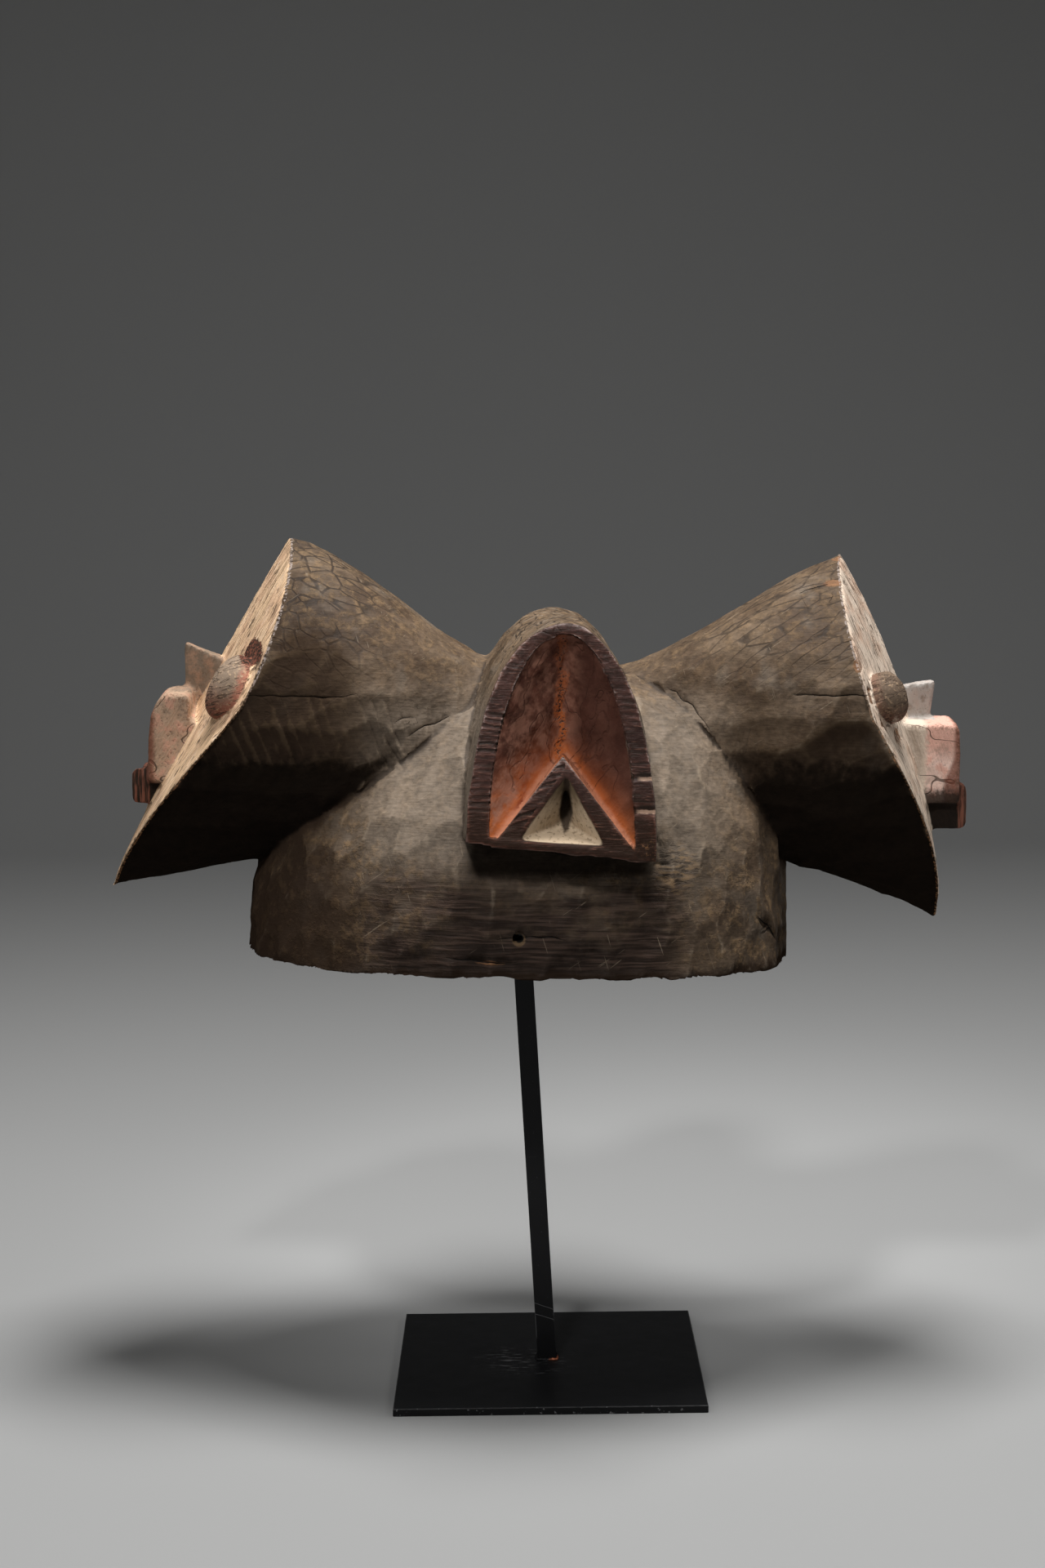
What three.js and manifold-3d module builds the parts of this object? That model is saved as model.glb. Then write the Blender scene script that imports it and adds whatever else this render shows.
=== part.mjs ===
// Janus helmet mask on its display stand, in millimetres, +Z up.
// The faces look along -X and +X, the ears along -Y and +Y.
// The origin is the middle of the base plate's underside.
import * as THREE from "three";
import { mergeVertices } from "three/addons/utils/BufferGeometryUtils.js";
import Module from "manifold-3d";

const wasm = await Module();
wasm.setup();

// Stand
const PLATE_SIDE = 160;
const PLATE_THICK = 4;
const PLATE_EDGE = 0.4; // broken edge all round
const BAR_SIDE = 10;
const BAR_FOOT_X = -1;
const BAR_LEAN = -0.0477; // sideways run for each millimetre of rise
const BAR_TOP_Z = 353.4;
const REST_LENGTH = 40; // cross bar under the crown
const REST_THICK = 5;
const JOINT_GAP = 0.3;

// Where the mask sits: its own frame has the rim at z 0
const MASK_X = -15;
const MASK_Z = 228.3;
const MASK_TILT = 1.34; // degrees, the +X end low

// Helmet
const HELMET = {
  length: 281,
  depth: 212,
  height: 148,
  squareLeft: 2.25, // superellipse powers of the rim's outline, towards -X and +X
  squareRight: 3,
  easeUp: 0.9, // how much rounder that outline is at the crown
  endWall: 2.6, // powers of the end walls' and the front wall's profiles
  frontWall: 2.2,
  rings: 13,
  segments: 60,
};
const RING_GATHER = 0.9; // below 1, a dome's rings stand closer to the crown
const WALL = 15;
const HOLLOW = { rings: 10, segments: 44, overrun: 5 }; // overrun: how far the cut reaches below the rim
const CROWN_SHIFT = 21; // the carving's top stands this far towards +X of the rim's middle
const CORD_HOLE = { x: 1.6, z: 20, radius: 2.4, length: 50, segments: 14 };

// Ears: an arch standing on a flat lower edge
const EAR = {
  x: CROWN_SHIFT + 0.7,
  base: 63.8,
  halfWidth: 46,
  height: 110,
  arch: 2.1,
  reach: 119, // how far in front of the middle its rim stands at the base
  leanBack: 8,
};
const EAR_STEPS = { arch: 36, through: 8 };
const EAR_ROOT_SWELL = 0.09; // how much wider the ears are where they meet
const EAR_ROOT_SHIFT = -4.7;
const EAR_ROOT_RISE = 3.5;
const EAR_EDGE_FALL = 0.095; // slope of the flat lower edge
const BOWL = {
  base: 67.5,
  halfWidth: 35.5,
  height: 101.5,
  depth: 24,
  deepest: 0.45, // share of its height where the valley is deepest, and how quickly it rises from there
  spread: 0.62,
  lip: 1,
  slope: 0.9, // below 1, its two slopes are hollow
  tip: 0.98, // share of a quarter turn that its arch reaches, so that it ends in a narrow edge
  columns: 12,
  rows: 14,
};
const FLAP = { apex: 110.6, left: -34.5, leftBase: 66, right: 37.5, rightBase: 62, setBack: 0.6, depth: 28 };
const PIT = {
  x: 2,
  apex: 105.5,
  left: -24,
  leftBase: 68.5,
  right: 24,
  rightBase: 66,
  depth: 16,
  floor: 76, // height of the deepest point, and the share of the outline that is left there
  keep: 0.16,
};
const SLOT = { top: 102, widest: 82, bottom: 72, halfWidth: 2.7, depth: 23 };
const OVERCUT = 2; // how far a cut starts in front of the ear

// Heads: each is a trumpet between a top line and a bottom line, ending in a leaf-shaped face
const HEADS = {
  left: {
    top: [[5, 145], [-40, 152], [-90, 213], [-120, 213]],
    bottom: [[0, 70], [-70, 60], [-140, 46], [-213, 28.5]],
    neck: { halfWidth: 40, opensBy: 0.55 },
    ridge: 4,
    eye: { along: 79, radius: 15.5, height: 9.5, stretch: 1.12 },
    nose: { from: 70.7, to: 110, height: 19.8 },
    muzzle: { back: -158, notch: -169, notchLow: 119, front: -190.5, low: 86, high: 134.7, brow: [11, 30] },
    lip: { back: -160, front: -199.5, low: 75, high: 93 },
  },
  right: {
    top: [[40, 145], [80, 149], [136, 198], [167, 208]],
    bottom: [[40, 70], [100, 58], [160, 44], [222, 17.5]],
    neck: { halfWidth: 24, opensBy: 0.72 },
    ridge: 13,
    eye: { along: 74.5, radius: 13, height: 11, stretch: 1 },
    nose: { from: 74.3, to: 118, height: 17.6 },
    muzzle: { back: 195, front: 228.2, low: 80, high: 123.3, brow: [3, 9] },
    lip: { back: 195, front: 233, low: 66, high: 90 },
  },
};
const HEAD_STEPS = { rings: 9, segments: 44, face: [0.82, 0.62, 0.4, 0.2, 0] }; // face: rings, edge inwards
const NECK_FULLNESS = 0.15; // how much squarer than an oval a neck's section is
const FACE_HALF_WIDTH = 69;
const LEAF_POINT = 0.34; // how pointed the leaf's two ends are
const LEAF_SKEW = 0.28; // how much wider its upper half is
const FACE_SLOPE = { fall: 0.36, middle: 0.85, grows: 0.8, least: 0.15 }; // ridge to edge, flatter below
const EYE = { offset: 49, root: 8, straight: 0.45, fullness: 0.8, rings: 5, segments: 20 };
const NOSE = { halfWidth: 12, crest: 3, root: 8, overhang: 3, taper: 0.75, fall: 0.9, rows: 6 };
const MUZZLE = { halfWidth: 24, edge: [2.5, 2.5], nape: 4, crown: 3 };
const MOUTH = { halfWidth: 15, height: 13, depth: 14 };
const LIP = { halfWidth: 19, round: [4, 4] };
const JUT_COLUMNS = 6;
const CORNER_STEPS = 5;

const WOOD = new THREE.MeshStandardMaterial({ color: 0x6a5c49, roughness: 0.8, metalness: 0 });
const BLACK_STEEL = new THREE.MeshStandardMaterial({ color: 0x16161a, roughness: 0.5, metalness: 0.3 });

// A geometry as a solid, with its faces turned outwards
function solidOf(geometry) {
  const bare = geometry.clone();
  bare.deleteAttribute("normal");
  bare.deleteAttribute("uv");
  const merged = mergeVertices(bare, 1e-3);
  const place = merged.attributes.position.array;
  const triangles = new Uint32Array(merged.index.array);
  let volume = 0;
  const [a, b, c] = [new THREE.Vector3(), new THREE.Vector3(), new THREE.Vector3()];
  for (let i = 0; i < triangles.length; i += 3) {
    a.fromArray(place, 3 * triangles[i]);
    b.fromArray(place, 3 * triangles[i + 1]);
    c.fromArray(place, 3 * triangles[i + 2]);
    volume += a.dot(b.cross(c));
  }
  if (volume < 0) triangles.reverse();
  return new wasm.Manifold(new wasm.Mesh({ numProp: 3, vertProperties: place, triVerts: triangles }));
}

// A solid as a geometry again
function geometryOf(solid) {
  const mesh = solid.getMesh();
  const place = new Float32Array(3 * mesh.numVert);
  for (let i = 0; i < mesh.numVert; i++) {
    const start = i * mesh.numProp;
    place.set(mesh.vertProperties.subarray(start, start + 3), 3 * i);
  }
  const geometry = new THREE.BufferGeometry();
  geometry.setAttribute("position", new THREE.BufferAttribute(place, 3));
  geometry.setIndex(new THREE.BufferAttribute(mesh.triVerts, 1));
  geometry.computeVertexNormals();
  return geometry;
}

// Moves each vertex of a geometry to where shape(x, y, z) says
function reshape(geometry, shape) {
  const place = geometry.attributes.position;
  for (let i = 0; i < place.count; i++) {
    const [x, y, z] = shape(place.getX(i), place.getY(i), place.getZ(i));
    place.setXYZ(i, x, y, z);
  }
  return geometry;
}

// Sideways shift of the helmet's middle at a height above the rim
const crownShift = (z) => CROWN_SHIFT * (Math.max(z, 0) / HELMET.height) ** 2;

// Width left of a wall at a share of its height, where power says how upright the wall stands
const drawnIn = (share, power) => Math.max(0, 1 - share ** power) ** (1 / power);

// Helmet shell: a dome with flat sides and a sloping front, drawn in by inset all over
function dome({ rings, segments, overrun = 0 }, inset) {
  const halfLength = HELMET.length / 2 - inset;
  const halfDepth = HELMET.depth / 2 - inset;
  const height = HELMET.height - inset;
  const profile = [new THREE.Vector2(0, -overrun), new THREE.Vector2(1, -overrun)];
  for (let i = overrun ? 0 : 1; i < rings; i++) {
    profile.push(new THREE.Vector2(1, height * Math.sin((Math.PI / 2) * (i / rings)) ** RING_GATHER));
  }
  profile.push(new THREE.Vector2(0, height));
  return reshape(new THREE.LatheGeometry(profile, segments), (x, y, z) => {
    const share = Math.max(0, y) / height;
    const radius = Math.hypot(x, z);
    const square = (x < 0 ? HELMET.squareLeft : HELMET.squareRight) - HELMET.easeUp * share;
    const swell = radius ? radius * (Math.abs(x) ** square + Math.abs(z) ** square) ** (-1 / square) : 0;
    const along = x * swell * halfLength * drawnIn(share, HELMET.endWall);
    return [crownShift(y) + along, z * swell * halfDepth * drawnIn(share, HELMET.frontWall), y];
  });
}

// The line that a head's top or bottom follows
function contour(points) {
  return new THREE.CubicBezierCurve3(...points.map(([x, z]) => new THREE.Vector3(x, 0, z)));
}

// A head's frame on its face: the peak, the run down to the chin, and the way the face looks
function faceFrame(head) {
  const peak = new THREE.Vector3(head.top[3][0], 0, head.top[3][1]);
  const chin = new THREE.Vector3(head.bottom[3][0], 0, head.bottom[3][1]);
  const down = chin.clone().sub(peak);
  const length = down.length();
  down.normalize();
  const out = new THREE.Vector3(-down.z, 0, down.x).multiplyScalar(Math.sign(peak.x));
  return { peak, down, out, length };
}

// How far a face stands out of the line from peak to chin, at share a (1 at the peak, -1 at the chin)
function faceLift(head, a, aside) {
  const share = Math.min(1, Math.max(FACE_SLOPE.least, FACE_SLOPE.middle + FACE_SLOPE.grows * a));
  return head.ridge * (1 - a * a) - FACE_SLOPE.fall * share * Math.abs(aside);
}

// One head, from inside the helmet to its face
function headSolid(head) {
  const { rings, segments, face } = HEAD_STEPS;
  const top = contour(head.top);
  const bottom = contour(head.bottom);
  const { out } = faceFrame(head);
  const profile = [new THREE.Vector2(0, 0)];
  for (let i = 0; i <= rings; i++) profile.push(new THREE.Vector2(1, i / rings));
  for (const share of face) profile.push(new THREE.Vector2(share, 1));
  const shell = reshape(new THREE.LatheGeometry(profile, segments), (x, t, z) => {
    const upper = top.getPoint(t);
    const lower = bottom.getPoint(t);
    const a = Math.min(1, Math.max(-1, z));
    const { halfWidth, opensBy } = head.neck;
    const flare = halfWidth + (FACE_HALF_WIDTH - halfWidth) * THREE.MathUtils.smoothstep(t, 0, opensBy);
    const pointed = THREE.MathUtils.lerp(-NECK_FULLNESS, LEAF_POINT, t ** 3);
    const aside = x * flare * Math.max(1 - a * a, 1e-6) ** pointed * (1 + LEAF_SKEW * t ** 3 * a);
    const point = upper.clone().add(lower).multiplyScalar(0.5);
    point.addScaledVector(upper.clone().sub(lower), a / 2);
    point.addScaledVector(out, t ** 4 * faceLift(head, a, aside));
    return [point.x, aside, point.z];
  });
  return solidOf(shell);
}

// A point on a face: along it from the peak, aside from the ridge, and proud of its surface
function onFace(head, along, aside, proud) {
  const { peak, down, out, length } = faceFrame(head);
  const a = 1 - (2 * along) / length;
  const point = peak.clone().addScaledVector(down, along);
  point.addScaledVector(out, faceLift(head, a, aside) + proud);
  point.y = aside;
  return point;
}

// Eye: a peg with a domed end, stretched along the face
function eyeSolid(head, sign) {
  const { eye } = head;
  const { down, out } = faceFrame(head);
  const straight = EYE.straight * eye.height;
  const profile = [new THREE.Vector2(0, -EYE.root), new THREE.Vector2(eye.radius, -EYE.root)];
  for (let i = 0; i <= EYE.rings; i++) {
    const angle = (Math.PI / 2) * (i / EYE.rings);
    const radius = i === EYE.rings ? 0 : eye.radius * Math.cos(angle) ** EYE.fullness;
    profile.push(new THREE.Vector2(radius, straight + (eye.height - straight) * Math.sin(angle)));
  }
  const long = down.clone().multiplyScalar(eye.stretch);
  const frame = new THREE.Matrix4().makeBasis(new THREE.Vector3().crossVectors(out, down), out, long);
  frame.setPosition(onFace(head, eye.along, sign * EYE.offset, 0));
  return solidOf(new THREE.LatheGeometry(profile, EYE.segments).applyMatrix4(frame));
}

// Nose: a fin, widest and highest at its upper end
function noseSolid(head) {
  const { nose } = head;
  const wedge = reshape(new THREE.BoxGeometry(1, 1, 1, 1, 1, NOSE.rows), (x, y, z) => {
    const t = z + 0.5;
    const along = nose.from + (nose.to - nose.from) * t;
    const height = nose.height * (1 - t) ** NOSE.fall;
    const crest = y > 0;
    const halfWidth = (crest ? NOSE.crest : NOSE.halfWidth) * (1 - NOSE.taper * t);
    const overhang = crest ? NOSE.overhang * (1 - t) : 0;
    const point = onFace(head, along + overhang, 0, crest ? height : -NOSE.root);
    return [point.x, 2 * x * halfWidth, point.z];
  });
  return solidOf(wedge);
}

// A block that juts out from back to front. Its front corners are rounded over a length and a height, above
// and below, and crown is how far its front and its top stand out in the middle. Where it has a notch, its
// upper part ends there at the back, down to the height notchLow.
function jutting(block, halfWidth, above = [0, 0], below = [0, 0], crown = 0) {
  const { back, front, low, high, notch, notchLow } = block;
  const side = Math.sign(front);
  const reach = side * (front - back);
  const outline = new THREE.Shape();
  outline.moveTo(0, low);
  outline.lineTo(reach - below[0], low);
  outline.quadraticCurveTo(reach, low, reach, low + below[1]);
  outline.lineTo(reach, high - above[1]);
  outline.quadraticCurveTo(reach, high, reach - above[0], high);
  if (notch) {
    const nape = side * (notch - back);
    outline.lineTo(nape + MUZZLE.nape, high);
    outline.quadraticCurveTo(nape, high, nape, high - MUZZLE.nape);
    outline.lineTo(nape, notchLow + MUZZLE.nape);
    outline.quadraticCurveTo(nape, notchLow, 0, notchLow - MUZZLE.nape);
  } else {
    outline.lineTo(0, high);
  }
  const steps = { depth: 2, steps: JUT_COLUMNS, curveSegments: CORNER_STEPS, bevelEnabled: false };
  return solidOf(reshape(new THREE.ExtrudeGeometry(outline, steps), (out, z, across) => {
    const middle = 1 - (across - 1) ** 2;
    const rise = (z - low) / (high - low);
    const bulge = crown * middle * (1 - rise) * (out / reach);
    return [back + side * (out + bulge), (across - 1) * halfWidth, z - crown * (1 - middle) * rise];
  }));
}

// Muzzle: a block over a narrower lower lip, with an open mouth between them
function muzzleSolid({ muzzle, lip }) {
  const inwards = MOUTH.depth * Math.sign(lip.front);
  const gap = { back: muzzle.front - inwards, front: lip.front + inwards, low: lip.high };
  gap.high = gap.low + MOUTH.height;
  const snout = jutting(muzzle, MUZZLE.halfWidth, muzzle.brow, MUZZLE.edge, MUZZLE.crown);
  const lowerLip = jutting(lip, LIP.halfWidth, LIP.round, LIP.round);
  return snout.add(lowerLip).subtract(jutting(gap, MOUTH.halfWidth));
}

// y of the front ear's rim plane at height z
const earFront = (z) => -(EAR.reach - EAR.leanBack * ((z - EAR.base) / EAR.height));

// Both ears in one, running through the crown
function earsSolid() {
  const arch = [];
  for (let i = 0; i <= EAR_STEPS.arch; i++) {
    const angle = Math.PI * (i / EAR_STEPS.arch);
    const aside = Math.sign(Math.cos(angle)) * Math.abs(Math.cos(angle)) ** (2 / EAR.arch);
    const up = i === EAR_STEPS.arch ? 0 : Math.sin(angle) ** (2 / EAR.arch);
    arch.push(new THREE.Vector2(EAR.halfWidth * aside, EAR.height * up));
  }
  const outline = new THREE.Shape(arch);
  const through = { depth: 2, steps: EAR_STEPS.through, bevelEnabled: false };
  const geometry = new THREE.ExtrudeGeometry(outline, through);
  return solidOf(reshape(geometry, (x, up, depth) => {
    const share = depth - 1;
    const root = 1 - Math.abs(share);
    const rise = up / EAR.height;
    const z = EAR.base + up + EAR_ROOT_RISE * root * rise - EAR_EDGE_FALL * x * (1 - rise);
    const middle = EAR.x + EAR_ROOT_SHIFT * root;
    return [middle + x * (1 + EAR_ROOT_SWELL * root), -earFront(EAR.base + up) * share, z];
  }));
}

// The red bowl of the front ear: two slopes that meet in a middle valley
function bowlSolid() {
  const geometry = new THREE.BoxGeometry(2, 1, 1, BOWL.columns, 1, BOWL.rows);
  return solidOf(reshape(geometry, (x, y, z) => {
    const angle = BOWL.tip * (Math.PI / 2) * (z + 0.5);
    const rise = Math.sin(angle);
    const halfWidth = BOWL.halfWidth * Math.cos(angle);
    const up = BOWL.base + BOWL.height * rise;
    const valley = BOWL.depth * (1 - ((rise - BOWL.deepest) / BOWL.spread) ** 2);
    const depth = y < 0 ? -OVERCUT : BOWL.lip + valley * (1 - Math.abs(x)) ** BOWL.slope;
    return [EAR.x + x * halfWidth, earFront(up) + depth, up - EAR_EDGE_FALL * x * halfWidth * (1 - rise)];
  }));
}

// A flat outline pushed into the front ear; its far side is drawn towards a point
function pushed(points, front, depth, keep = 1, focus = [0, 0]) {
  const outline = new THREE.Shape(points.map(([x, z]) => new THREE.Vector2(x, z)));
  const geometry = new THREE.ExtrudeGeometry(outline, { depth: 1, bevelEnabled: false });
  return solidOf(reshape(geometry, (x, z, far) => {
    const share = 1 - (1 - keep) * far;
    const at = [focus[0] + (x - focus[0]) * share, focus[1] + (z - focus[1]) * share];
    return [EAR.x + at[0], earFront(z) + front + depth * far, at[1]];
  }));
}

// The triangular flap at the foot of the bowl, with its white pit and narrow slot
function flapSolid() {
  const flapLine = [[0, FLAP.apex], [FLAP.left, FLAP.leftBase], [FLAP.right, FLAP.rightBase]];
  const pitLine = [[PIT.x, PIT.apex], [PIT.left, PIT.leftBase], [PIT.right, PIT.rightBase]];
  const [left, right] = [PIT.x - SLOT.halfWidth, PIT.x + SLOT.halfWidth];
  const slotLine = [[PIT.x, SLOT.top], [left, SLOT.widest], [PIT.x, SLOT.bottom], [right, SLOT.widest]];
  const flap = pushed(flapLine, FLAP.setBack, FLAP.depth);
  const pit = pushed(pitLine, -OVERCUT, OVERCUT + PIT.depth, PIT.keep, [PIT.x, PIT.floor]);
  const slot = pushed(slotLine, -OVERCUT, OVERCUT + SLOT.depth);
  return flap.subtract(pit).subtract(slot);
}

// A solid turned half a turn about the ears' middle, which makes the back ear from the front one
function turnedToBack(solid) {
  const geometry = geometryOf(solid);
  return solidOf(reshape(geometry, (x, y, z) => [2 * EAR.x - x, -y, z]));
}

// The whole carving, in the mask's own frame
function maskGeometry() {
  let carving = solidOf(dome(HELMET, 0));
  for (const head of Object.values(HEADS)) carving = carving.add(headSolid(head));
  carving = carving.add(earsSolid()).subtract(solidOf(dome(HOLLOW, WALL)));
  const [bowl, flap] = [bowlSolid(), flapSolid()];
  carving = carving.subtract(bowl).add(flap);
  carving = carving.subtract(turnedToBack(bowl)).add(turnedToBack(flap));
  for (const head of Object.values(HEADS)) {
    carving = carving.add(noseSolid(head)).add(muzzleSolid(head));
    for (const sign of [-1, 1]) carving = carving.add(eyeSolid(head, sign));
  }
  const { x, z, radius, length, segments } = CORD_HOLE;
  const drill = new THREE.CylinderGeometry(radius, radius, length, segments);
  drill.translate(x, -HELMET.depth / 2, z);
  return geometryOf(carving.subtract(solidOf(drill)));
}

// The square bar, and the cross bar it carries under the crown
function barGeometry() {
  const foot = PLATE_THICK + JOINT_GAP;
  const shaft = reshape(new THREE.BoxGeometry(BAR_SIDE, BAR_SIDE, 1), (x, y, z) => {
    const height = foot + (BAR_TOP_Z - foot) * (z + 0.5);
    return [x + BAR_FOOT_X + BAR_LEAN * (height - PLATE_THICK), y, height];
  });
  const rest = new THREE.BoxGeometry(BAR_SIDE, REST_LENGTH, REST_THICK);
  rest.translate(BAR_FOOT_X + BAR_LEAN * (BAR_TOP_Z - PLATE_THICK), 0, BAR_TOP_Z);
  return geometryOf(solidOf(shaft).add(solidOf(rest)));
}

// The base plate, with its edges broken
function plateGeometry() {
  const half = PLATE_SIDE / 2 - PLATE_EDGE;
  const outline = new THREE.Shape();
  outline.moveTo(-half, -half);
  outline.lineTo(half, -half);
  outline.lineTo(half, half);
  outline.lineTo(-half, half);
  const geometry = new THREE.ExtrudeGeometry(outline, {
    depth: PLATE_THICK - 2 * PLATE_EDGE,
    bevelThickness: PLATE_EDGE,
    bevelSize: PLATE_EDGE,
    bevelSegments: 1,
  });
  return geometry.translate(0, 0, PLATE_EDGE);
}

function named(name, geometry, material) {
  const mesh = new THREE.Mesh(geometry, material);
  mesh.name = name;
  return mesh;
}

const maskFrame = new THREE.Group();
maskFrame.position.set(MASK_X, 0, MASK_Z);
maskFrame.rotation.y = THREE.MathUtils.degToRad(MASK_TILT);
maskFrame.add(named("helmet_mask", maskGeometry(), WOOD));

const object = new THREE.Group();
object.add(maskFrame);
object.add(named("stand_bar", barGeometry(), BLACK_STEEL));
object.add(named("stand_plate", plateGeometry(), BLACK_STEEL));

export default object;
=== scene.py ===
"""Janus helmet mask on its stand: the carved and painted surface, the steel's finish and the studio."""

import math

import bmesh
import bpy
import numpy as np
from bpy.props import FloatProperty, FloatVectorProperty, IntProperty, PointerProperty
from mathutils import Matrix, Vector, kdtree


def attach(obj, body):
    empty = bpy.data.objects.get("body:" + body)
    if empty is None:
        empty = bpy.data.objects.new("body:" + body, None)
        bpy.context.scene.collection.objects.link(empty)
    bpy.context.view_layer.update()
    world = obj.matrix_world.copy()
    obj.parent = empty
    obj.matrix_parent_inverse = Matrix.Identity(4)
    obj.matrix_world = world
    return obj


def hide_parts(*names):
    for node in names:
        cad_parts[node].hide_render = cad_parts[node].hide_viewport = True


bl_info = {
    "name": "Janus Helmet Mask",
    "version": (1, 0, 0),
    "blender": (4, 5, 0),
    "location": "View3D > Sidebar > Mask",
    "description": "Carves and paints a wooden helmet mask with opposed faces, and finishes its steel stand",
    "category": "Add Mesh",
}

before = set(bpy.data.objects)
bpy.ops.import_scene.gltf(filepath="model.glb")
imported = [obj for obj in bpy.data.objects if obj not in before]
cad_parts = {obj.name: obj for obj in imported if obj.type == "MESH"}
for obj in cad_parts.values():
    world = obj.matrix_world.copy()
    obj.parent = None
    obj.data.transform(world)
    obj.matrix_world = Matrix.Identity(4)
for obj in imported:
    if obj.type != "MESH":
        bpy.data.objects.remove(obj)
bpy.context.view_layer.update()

MM = 0.001

# The carving's own frame is in millimetres, with the rim at height 0, the faces along X and the front ear
# along -Y. Its place in the world is in metres
CARVING_ORIGIN = Vector((-0.015, 0.0, 0.2283))
CARVING_TILT = math.radians(1.34)
CARVING_TURN = Matrix.Rotation(CARVING_TILT, 4, "Y")
CARVING_PLACE = Matrix.Translation(CARVING_ORIGIN) @ CARVING_TURN @ Matrix.Scale(MM, 4)

HOLLOW = {"half_length": 140.5, "half_depth": 106.0, "height": 148.0, "shift": 21.0, "wall": 15.0}
EAR = {"x": 21.7, "base": 63.8, "height": 110.0, "reach": 119.0, "lean_back": 8.0}
# Where the ears and their roots are: above and within these distances, in front of that depth
EAR_ZONE = {"bottom": 52.0, "half_width": 52.0, "depth": 34.0, "aside": 70.0}
# How much the bowl's lower edge falls for each millimetre across
EDGE_FALL = 0.095
BOWL = {"base": 67.5, "half_width": 35.5, "height": 101.5}
# Corners as distance across from the ear's middle, and height
FLAP = ((0.0, 110.6), (-34.5, 66.0), (37.5, 62.0))
PIT = ((2.0, 105.5), (-24.0, 68.5), (24.0, 66.0))
SLOT = {"x": 2.0, "top": 102.0, "widest": 82.0, "bottom": 72.0, "half_width": 2.7}
# Peak and chin as (x, height), and the bulge between them; the eye's distance down from the peak, its radius
# and stretch; the nose's start and end on the way down; the muzzle's front, bottom and top; the lip's bottom
# and top
HEADS = {
    "left": {
        "peak": (-120.0, 213.0), "chin": (-213.0, 28.5), "ridge": 4.0, "eye": (79.0, 15.5, 1.12),
        "nose": (67.0, 112.0), "muzzle": (190.5, 84.0, 134.7), "lip": (75.0, 93.0),
    },
    "right": {
        "peak": (167.0, 208.0), "chin": (222.0, 17.5), "ridge": 13.0, "eye": (74.5, 13.0, 1.0),
        "nose": (71.0, 120.0), "muzzle": (228.2, 78.0, 123.3), "lip": (66.0, 90.0),
    },
}
FACE_SLOPE = {"fall": 0.36, "middle": 0.85, "grows": 0.8, "least": 0.15}
# Distance of the eyes from the middle plane, and the half widths of what stands there
EYE_OFFSET = 49.0
EYE_DOME = {"reach": 13.0, "height": 3.4}
NOSE_HALF_WIDTH = 12.0
MUZZLE_HALF_WIDTH = 24.0
LIP_HALF_WIDTH = 19.0
# The line where the necks leave the helmet: its height falls with the distance from the middle
NECK = {"middle": 12.0, "start": 55.0, "height": 128.0, "fall": 0.95}
# The drilled hole in the front wall, as x and height, and the worn ring round it
CORD_HOLE = (1.6, 20.0)
HOLE_RING = {"radius": 2.9, "depth": 1.1}
# A patch of torn wood right of the front ear: place, half length and half height
TORN = {"x": 78.0, "z": 53.0, "half_length": 12.0, "half_height": 8.5}

# Cracks in the side that the front ear is on: points (x, height), width and depth
CRACKS = (
    (((-137, 134.2), (-118, 134.9), (-97, 134.4), (-80, 136.0)), 0.32, 0.5),
    (((-34, 124.5), (-41, 120.5), (-47, 119.5), (-55, 114.5)), 0.34, 0.7),
    (((-51, 123.6), (-57, 123.8), (-61, 122.0)), 0.25, 0.5),
    (((76, 139.0), (81, 137.0), (84, 132.5), (89, 130.5), (93, 124.0), (98, 117.0)), 0.3, 0.5),
    (((136, 138.2), (150, 137.4), (162, 138.6), (177, 138.8)), 0.34, 0.7),
    (((143, 187.4), (150, 190.2), (158, 192.6)), 0.5, 1.0),
    (((121, 27.0), (126, 21.5), (132, 13.0)), 0.6, 1.1),
    (((124, 17.5), (127, 20.5)), 0.4, 0.7),
    (((4, 20.2), (13, 20.8), (24, 19.4)), 0.5, 0.9),
    (((-2, 20.0), (-9, 19.0)), 0.4, 0.6),
    (((-34, 9.6), (-16, 8.4), (2, 8.0)), 0.5, 0.8),
)
# Broken or worn places there: (x, height), half length, half height, and depth
BREAKS = (
    ((160.5, 192.6), 5.2, 1.6, 0.6), ((165.0, 206.0), 3.6, 2.6, 0.8), ((169.5, 152.5), 3.0, 4.0, 0.8),
    ((178.0, 138.0), 4.5, 5.5, 1.0), ((185.0, 126.0), 3.5, 5.0, 0.9), ((193.5, 116.0), 3.0, 4.5, 0.9),
    ((-138.0, 147.5), 3.0, 6.0, 0.5), ((-14.0, 8.0), 7.0, 1.1, 0.5),
)

# Rows of cuts on the heads' flanks, as spans along X and Z, each with start, end and soft border; the last
# span is the distance from the middle plane
LEFT_ROWS = ((-158, -62, 14), (100, 131, 5))
RIGHT_COMB = ((92, 116, 8), (88, 118, 8))
BACK_ROWS = ((70, 150, 14), (90, 130, 8))
FLANK = (20, 90, 10)
# Places on either side, as x, height, radius and soft border
DUST_PLACES = ((-95.0, 22.0, 32.0, 60.0), (128.0, 22.0, 14.0, 50.0), (50.0, 60.0, 12.0, 30.0))
LEFT_NET = (-118.0, 196.0, 32.0, 50.0)
EAR_NET = (18.0, 172.0, 18.0, 24.0)
RIGHT_NET = (135.0, 192.0, 26.0, 66.0)
WORN_CORNER = (65.0, 67.0, 2.0, 6.0)
EYE_SPOT = (-134.5, 155.5, 3.0, 6.5)
# Spans, as start, end and soft border: the torn fibres along X, and the painted shadow below the ear along X
# and Z
FIBRES_ALONG = (-58.0, 66.0, 34.0)
EAR_SHADOW = {"along": (-20.0, 62.0, 7.0), "height": (53.0, 66.0, 6.0)}
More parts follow.
